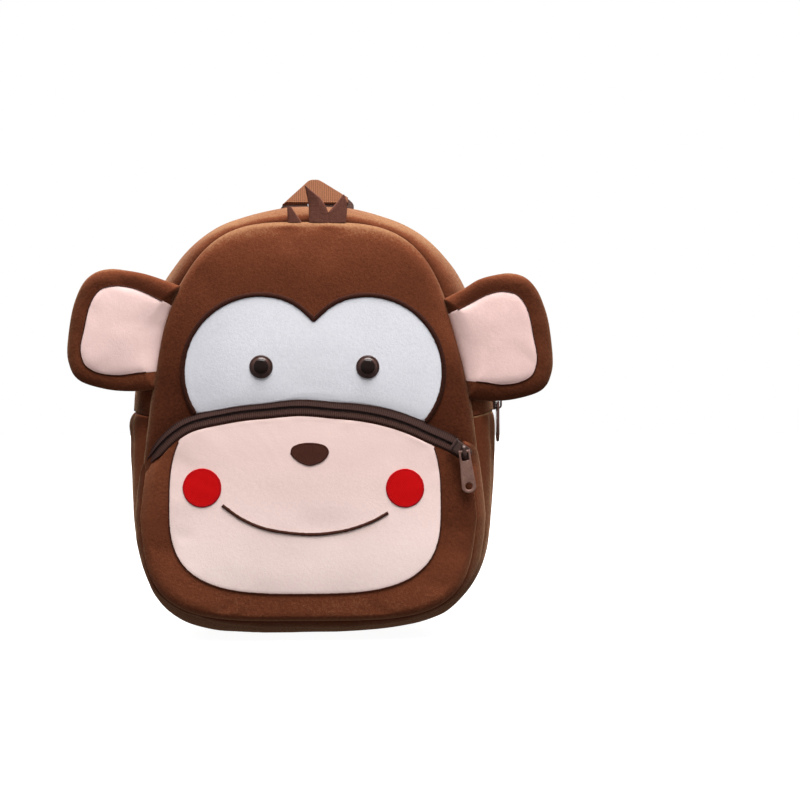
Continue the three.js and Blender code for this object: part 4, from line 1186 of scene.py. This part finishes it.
def make_ear(suffix, side):
    rise = LEFT_EAR.rise if side < 0 else 0
    centre = (EAR.centre[0], EAR.centre[1] + rise)
    edge_points, lining_points = ear_lines(side)
    shape = rooted(edge_points, EAR_ROOT.skin, side)
    form = rooted(edge_points, EAR_ROOT.form, side)
    steps = 240
    angles = turns(steps)
    far_form = reach(in_polygon(form), centre, angles)[:, None]
    x, z, edge = polar(in_polygon(shape), centre, steps, shares(22, 14, 0.8))
    from_centre = np.hypot(x - centre[0], z - centre[1])
    from_form = far_form - from_centre
    puff = np.sqrt(1 - (1 - np.clip(from_form / EAR.soft, 0, 1)) ** 2)
    out = np.maximum(0, x - root_x(z, side))
    middle = EAR.root_y + EAR.slant * out
    crease = gathers(x, z, edge, 0.4, 4, 6, 3 + side)
    seam = reach(in_polygon(rooted(lining_points, EAR_ROOT.groove, side)), centre, angles)[:, None]
    off_seam = from_centre - seam
    groove = 0.5 * bell(off_seam, 0, 2.2) * fade(out, 2, 6)
    swell = puff * waves(x, z, (0.5, 24, 5 + side), (0.2, 9, side))
    front_y = middle - EAR.edge - EAR.puff * puff - swell - crease + groove
    free = fade(out, 4, 20)
    rear_y = middle + EAR.edge + EAR.puff * puff * free + swell * free
    outer = inflate(xyz(side * x, front_y, z), edge < 2.5, most=0.5, away=FORWARD, closed=True)
    held = (edge < 2.5) | (out < 8)
    inner = inflate(xyz(side * x, rear_y, z), held, most=1.2, away=BACKWARD, closed=True)
    # Painted shade on the ear: darker towards its top, most near its root; the lower part is a little
    # lighter on the left ear and a little darker on the right.
    low = -0.3 if side > 0 else 0.7
    tone = mix(low, -0.7, smooth((z - 140 - rise) / 30)) * mix(1.0, 0.5, fade(x, 105, 20))
    top = mix(-1.6, -0.9, fade(x, 94, 18))
    tone = mix(tone, top, smooth((z - 178 - rise) / 16))
    ear = shell("ear_" + suffix, outer, inner, BROWN, closed=True, fan=True, tone=tone)
    fit(ear, ["ear_" + suffix])
    lining = in_polygon(rooted(lining_points, EAR_ROOT.lining, side) * (side, 1))
    lining_centre = (side * EAR.lining_x, centre[1])
    # Painted light: the pink lining is painted lighter, the left one more.
    pink = patch("ear_lining_" + suffix, lining, lining_centre, depth_on(ear), ROSE, steps=200, middle=20,
                 lift=0.2, tone=lambda x, z: 0.8 - 0.3 * side + 0 * x)
    fit(pink, ["ear_lining_" + suffix])
    line = rooted(lining_points, EAR_ROOT.hem, side)[5:135] * (side, 1)
    fit(hem("ear_seam_" + suffix, line, depth_on(ear, pink), half=0.35, lift=0.5), [])
    return ear


ears = [make_ear("right", 1), make_ear("left", -1)]


# Felt tuft
def blade(points, faces, left, right, bend, seed):
    """A flat felt blade between two edge lines."""
    rows, cols = 40, 14
    a, b = even(left, rows), even(right, rows)
    t = np.linspace(0, 1, cols)[None, :]
    x = mix(a[:, 0, None], b[:, 0, None], t)
    z = mix(a[:, 1, None], b[:, 1, None], t)
    bow = bend * (np.maximum(0, z - TUFT_ROOT.z) / 18) ** 2
    middle = TUFT_ROOT.y + bow + 0.25 * wobble(x, seed, z, 6.0)
    thin = 0.9 * domed(2 * t - 1, 6, 0.05) * np.ones_like(x)
    front_side = xyz(x, middle - thin, z)
    rear_side = xyz(x, middle + thin, z)
    add_tube(points, faces, np.concatenate([front_side, rear_side[:, ::-1]], axis=1))


def make_tuft():
    points, faces = [], []
    for seed, (left, right, bend) in enumerate(TUFT, 1):
        blade(points, faces, left, right, bend, seed)
    return build("hair_tuft", points, faces, FELT, sharp=50)


fit(make_tuft(), ["hair_tuft"])


# Grab handle: webbing folded to a peak over a slot, leaning back and a little to one side
def handle_layer(x, low, near, far):
    """Rings and weave of one layer of webbing between two depths, from a height up to the folded edge."""
    top = np.interp(x, HANDLE.edge_x, HANDLE.edge_z)
    z = mix(np.minimum(low, top - 0.5), top, np.linspace(0, 1, len(x))[:, None])
    peak = fade(np.abs(x - 1.2), 9.0, -3) * fade(z, 20, 3)
    rib = mix(np.sin(z * 2 * np.pi / RIB_PITCH), np.sin(x * 2 * np.pi / 1.3), peak)
    border = np.minimum(np.minimum(x - HANDLE.edge_x[0], HANDLE.edge_x[-1] - x), top - z)
    swell = 0.06 * rib - 0.35 * (1 - np.sqrt(np.clip(border / 0.8, 0, 1)))
    rings = np.concatenate([xyz(x, near - swell, z), xyz(x, far + swell, z)[:, ::-1]], axis=1)
    x, y, z = np.moveaxis(rings, -1, 0)
    c, s = math.cos(math.radians(HANDLE.lean)), math.sin(math.radians(HANDLE.lean))
    turned = xyz(x, y * c + z * s, -y * s + z * c) + np.array([0, HANDLE.base[0] + 1.0, HANDLE.base[1]])
    return turned, xyz(z, x, 0 * x)


def make_handle():
    rows, cols, slot_top = 84, 36, 0.55
    t = np.linspace(0, 1, cols)[None, :]
    share = np.linspace(0, 1, rows)[:, None]
    closing = np.maximum(0, mix(5.4, 0.0, (share - slot_top) / 0.1))
    slot = np.where(share < slot_top, mix(1.6, 5.4, share / slot_top), closing)
    points, faces, flow = [], [], []
    for side, end in ((-1, HANDLE.edge_x[0]), (1, HANDLE.edge_x[-1])):
        rings, weave = handle_layer(mix(HANDLE.centre + side * slot, end, t), 0.0, -0.9, 0.9)
        add_tube(points, faces, rings, False, flow, weave)
    fit(build("grab_handle", points, faces, WEB_PAINTED_SHADE, flow, 50), ["grab_handle"])
    rings, weave = handle_layer(mix(-18.2, 22.0, t) + 0 * share, 17.4, -2.6, -1.0)
    fold = tube("grab_handle_fold", rings, WEB_PAINTED_LIGHT, weave=weave[..., [1, 0, 2]], sharp=50)
    fit(fold, [])


make_handle()


# Shoulder straps, webbing and buckles
def seam_top(x):
    """Height of the back seam over a point."""
    return BACK.widest + reach(within(BACK), (x, BACK.widest), np.full_like(x, np.pi / 2))


def make_strap(suffix, side):
    rows = spline(STRAP_ROWS, 170)
    v = np.sin(np.linspace(-1, 1, 41) * np.pi / 2)[None, :]
    z0, y0, offset, half, thick = (rows[:, k, None] for k in range(5))
    x = side * offset + v * half
    top = np.minimum(STRAP.top, seam_top(x) - 2.4)
    bent = STRAP.bend + (z0 - STRAP.bend) * (top - STRAP.bend) / (STRAP.top - STRAP.bend)
    z = np.where(z0 > STRAP.bend, bent, z0)
    soft = domed(v, 4)
    puffed = 0.3 + (thick / 2 - 0.3) * soft
    on_panel = SEAM_Y + BACK_PAD * rolled(np.minimum(1, level(BACK, x, z)), 0.9)
    tied = fade(z0, 228, 7)
    y = mix(y0 + 0 * v, on_panel + 0.4 + puffed, tied)
    gather = 0.3 * np.exp(-(1 - np.abs(v)) * 5) * wobble(x, 0, z, 6.0, 2.0 + side)
    swell = soft * waves(x, z, (0.5, 26, 1 + side), (0.2, 10, 3)) + gather
    held = (np.abs(v) > 0.985) | (z0 > 231) | (z0 < 47)
    outer = inflate(xyz(x, y + puffed + swell, z), held, most=1.0, away=BACKWARD, closed=False)
    inner = xyz(x, y - puffed, z)
    piece = shell("strap_" + suffix, outer, inner, YELLOW)
    return fit(piece, ["strap_" + suffix])


def make_web(name, side, path):
    line = spline(path, 96)
    normal = sideways(line)
    along = distances(line)
    v = np.sin(np.linspace(-1, 1, 17) * np.pi / 2)
    rib = 0.12 * np.sin(along * 2 * np.pi / RIB_PITCH)[:, None]
    thin = (WEB.thick / 2 - 0.1) * domed(v, 10, 0.02)[None, :] + rib
    x = side * WEB.x + v[None, :] * WEB.half + 0 * along[:, None]

    def layer(face):
        y, z = (line[:, k, None] + face * thin * normal[:, k, None] for k in (0, 1))
        return xyz(x, y, z)

    weave = xyz(along[:, None], v[None, :] * WEB.half, 0 * x)
    return fit(shell(name, layer(1), layer(-1), WEBBING, weave=weave), [name])


def make_buckle(name, side):
    half = [(5, 2.5), (15.6, 14), (17, 38.5), (15.5, 40)]
    frame_line = rounded(half + [(-x, z) for x, z in reversed(half)], 1.6)
    windows = [rounded(box(-13.2, low, 13.2, high), 1.0) for low, high in ((27.6, 36), (16, 25))]
    points, faces = plate(frame_line, windows, BUCKLE.depth, 0.7)
    lip = points[:, 1] < 15
    points[lip, 2] += 0.012 * (15 - points[lip, 1]) ** 2
    at = (side * WEB.x, BUCKLE.y + BUCKLE.depth / 2, 0)
    points = placed(points, at, (1, 0, 0), (0, 0, 1), (0, 1, 0))
    return fit(build(name, points, faces, PLASTIC, sharp=35), [name])


for suffix, side in (("left", -1), ("right", 1)):
    make_strap(suffix, side)
    make_web("web_upper_" + suffix, side, WEB_UPPER)
    make_web("web_lower_" + suffix, side, WEB_LOWER)
    make_buckle("buckle_" + suffix, side)


# Sliders and pull tabs
def slider_mesh(turn):
    """Slider body with its plan turned, and a bridge along X over the bar of the pull."""
    half = [(-7.2, 2.6), (-5.8, 3.3), (2.2, 3.4), (4.2, 2.3)]
    plan = rounded([(x, -y) for x, y in half] + half[::-1], 0.8)
    points, faces = plate(plan, [], 2.2, 0.5)
    end, more = plate(rounded(box(-7.6, -3.7, -6.2, 3.7), 0.5), [], 3.0, 0.4)
    faces = faces + [tuple(v + len(points) for v in f) for f in more]
    points = np.concatenate([points + (0, 0, 1.1), end + (0, 0, 1.5)])
    c, s = math.cos(turn), math.sin(turn)
    points = points @ np.array([[c, s, 0], [-s, c, 0], [0, 0, 1]])
    side = rounded([(-3.9, 1.6), (3.9, 1.6), (3.9, 4.5), (2.5, 6.1), (-2.5, 6.1), (-3.9, 4.5)], 1.2)
    opening = rounded(box(-2.6, 2.2, 2.6, 5), 0.8)
    bridge, more = plate(side, [opening], 2.0, 0.45)
    bridge = placed(bridge, (0, 0, 0), (1, 0, 0), (0, 0, 1), (0, 1, 0))
    faces = faces + [tuple(v + len(points) for v in f) for f in more]
    return np.concatenate([points, bridge]), faces


def pull_mesh():
    """Pull tab: bar on the origin, tab along +X, thickness along Z."""
    arc = [(18.8 + 4.2 * math.cos(t), 4.2 * math.sin(t)) for t in np.radians(np.linspace(-75, 75, 17))]
    plan = [(-0.75, -3.2), (5, -3.2), (7, -3.3), *arc, (7, 3.3), (5, 3.2), (-0.75, 3.2)]
    slot = rounded(box(0.75, -2, 5, 2), 0.8)
    around = np.linspace(0, 2 * np.pi, 24, endpoint=False)
    hole = [(19.2 + 2 * math.cos(t), 2 * math.sin(t)) for t in around]
    return plate(plan, [slot, hole], 1.5, 0.4)


def add_slider(prefix, hang, away, turn):
    """A slider and its pull, which hangs from the hinge of that name."""
    hang, away = np.array(hang, float), np.array(away, float)
    at = hinges[prefix + "_pull_swing"] - PULL_AXIS * away
    third = np.cross(away, hang)
    points, faces = slider_mesh(turn)
    points = placed(points, at, hang, third, away)
    fit(build(prefix + "_slider", points, faces, CAST, sharp=40), [prefix + "_slider"])
    points, faces = pull_mesh()
    points = placed(points, at + PULL_AXIS * away, hang, third, away)
    pull = build(prefix + "_pull", points, faces, METAL, sharp=40)
    fit(pull, [prefix + "_pull"], prefix + "_pull")


tilt = math.radians(POCKET_SLIDER.tilt)
pocket_hang = (math.sin(tilt), 0, -math.cos(tilt))
pocket_turn = math.radians(POCKET_SLIDER.teeth) - math.atan2(pocket_hang[2], pocket_hang[0])
hinges = {j["name"]: np.array(j["pos_m"]) / MM for j in frame["record"]["behaviour"]["joints"]}
add_slider("pocket", pocket_hang, (0, -1, 0), pocket_turn)
add_slider("main", (0, 0, -1), (1, 0, 0), 0)


# Floor, light and camera
def make_floor():
    paint, tree, bsdf = blank("floor_paint", Roughness=0.9, Specular_IOR_Level=0.1,
                              Emission_Color=(1, 1, 1, 1), Emission_Strength=0.95)
    greys = (0.3, (0.30, 0.30, 0.30, 1)), (0.7, (0.32, 0.32, 0.32, 1))
    tone = ramp(tree, grain(tree, place(tree), 400, 2), *greys)
    tree.links.new(tone, bsdf.inputs["Base Color"])
    size, height = 6000, -0.2
    points = [(x, y, height) for x, y in box(-size, -size, size, size)]
    piece = build("floor", points, [(0, 1, 2, 3)], paint)
    piece.visible_diffuse = False
    piece.visible_glossy = False


make_floor()
world = bpy.data.worlds.new("studio")
bpy.context.scene.world = world
world.use_nodes = True
tree = world.node_tree
sky = tree.nodes["Background"]
way = node(tree, "ShaderNodeSeparateXYZ", {"Vector": node(tree, "ShaderNodeTexCoord").outputs["Generated"]})
height = calculate(tree, "MULTIPLY_ADD", way.outputs["Z"], 0.5, 0.5)
dome = ramp(tree, height, (0.3, (0.16, 0.15, 0.15, 1)), (0.5, (0.37, 0.37, 0.37, 1)))
tree.links.new(dome, sky.inputs["Color"])
sky.inputs["Strength"].default_value = 1.0
seen = node(tree, "ShaderNodeBackground", {"Color": (1, 1, 1, 1), "Strength": 1.0})
ray = node(tree, "ShaderNodeLightPath").outputs["Is Camera Ray"]
both = node(tree, "ShaderNodeMixShader", {0: ray, 1: sky.outputs[0], 2: seen.outputs[0]})
tree.links.new(both.outputs[0], tree.nodes["World Output"].inputs["Surface"])


def add_sun(name, direction, strength, spread):
    lamp = bpy.data.lights.new(name, "SUN")
    lamp.energy = strength
    lamp.angle = math.radians(spread)
    holder = bpy.data.objects.new(name, lamp)
    holder.rotation_mode = "QUATERNION"
    holder.rotation_quaternion = Vector(direction).to_track_quat("-Z", "Y")
    bpy.context.scene.collection.objects.link(holder)


add_sun("key", (-0.1, 0.32, -1.0), strength=6.2, spread=50)
add_sun("fill", (0.1, -1.0, -0.5), strength=2.6, spread=60)

camera = bpy.data.cameras.new("camera")
camera.sensor_width = CAMERA.sensor
camera.lens = CAMERA.sensor * CAMERA.focal / CAMERA.width
eye = Vector(CAMERA.eye)
holder = bpy.data.objects.new("camera", camera)
holder.location = eye
holder.rotation_mode = "QUATERNION"
holder.rotation_quaternion = (Vector(CAMERA.target) - eye).to_track_quat("-Z", "Y")
bpy.context.scene.collection.objects.link(holder)
bpy.context.scene.camera = holder
bpy.context.scene.view_settings.view_transform = "Standard"
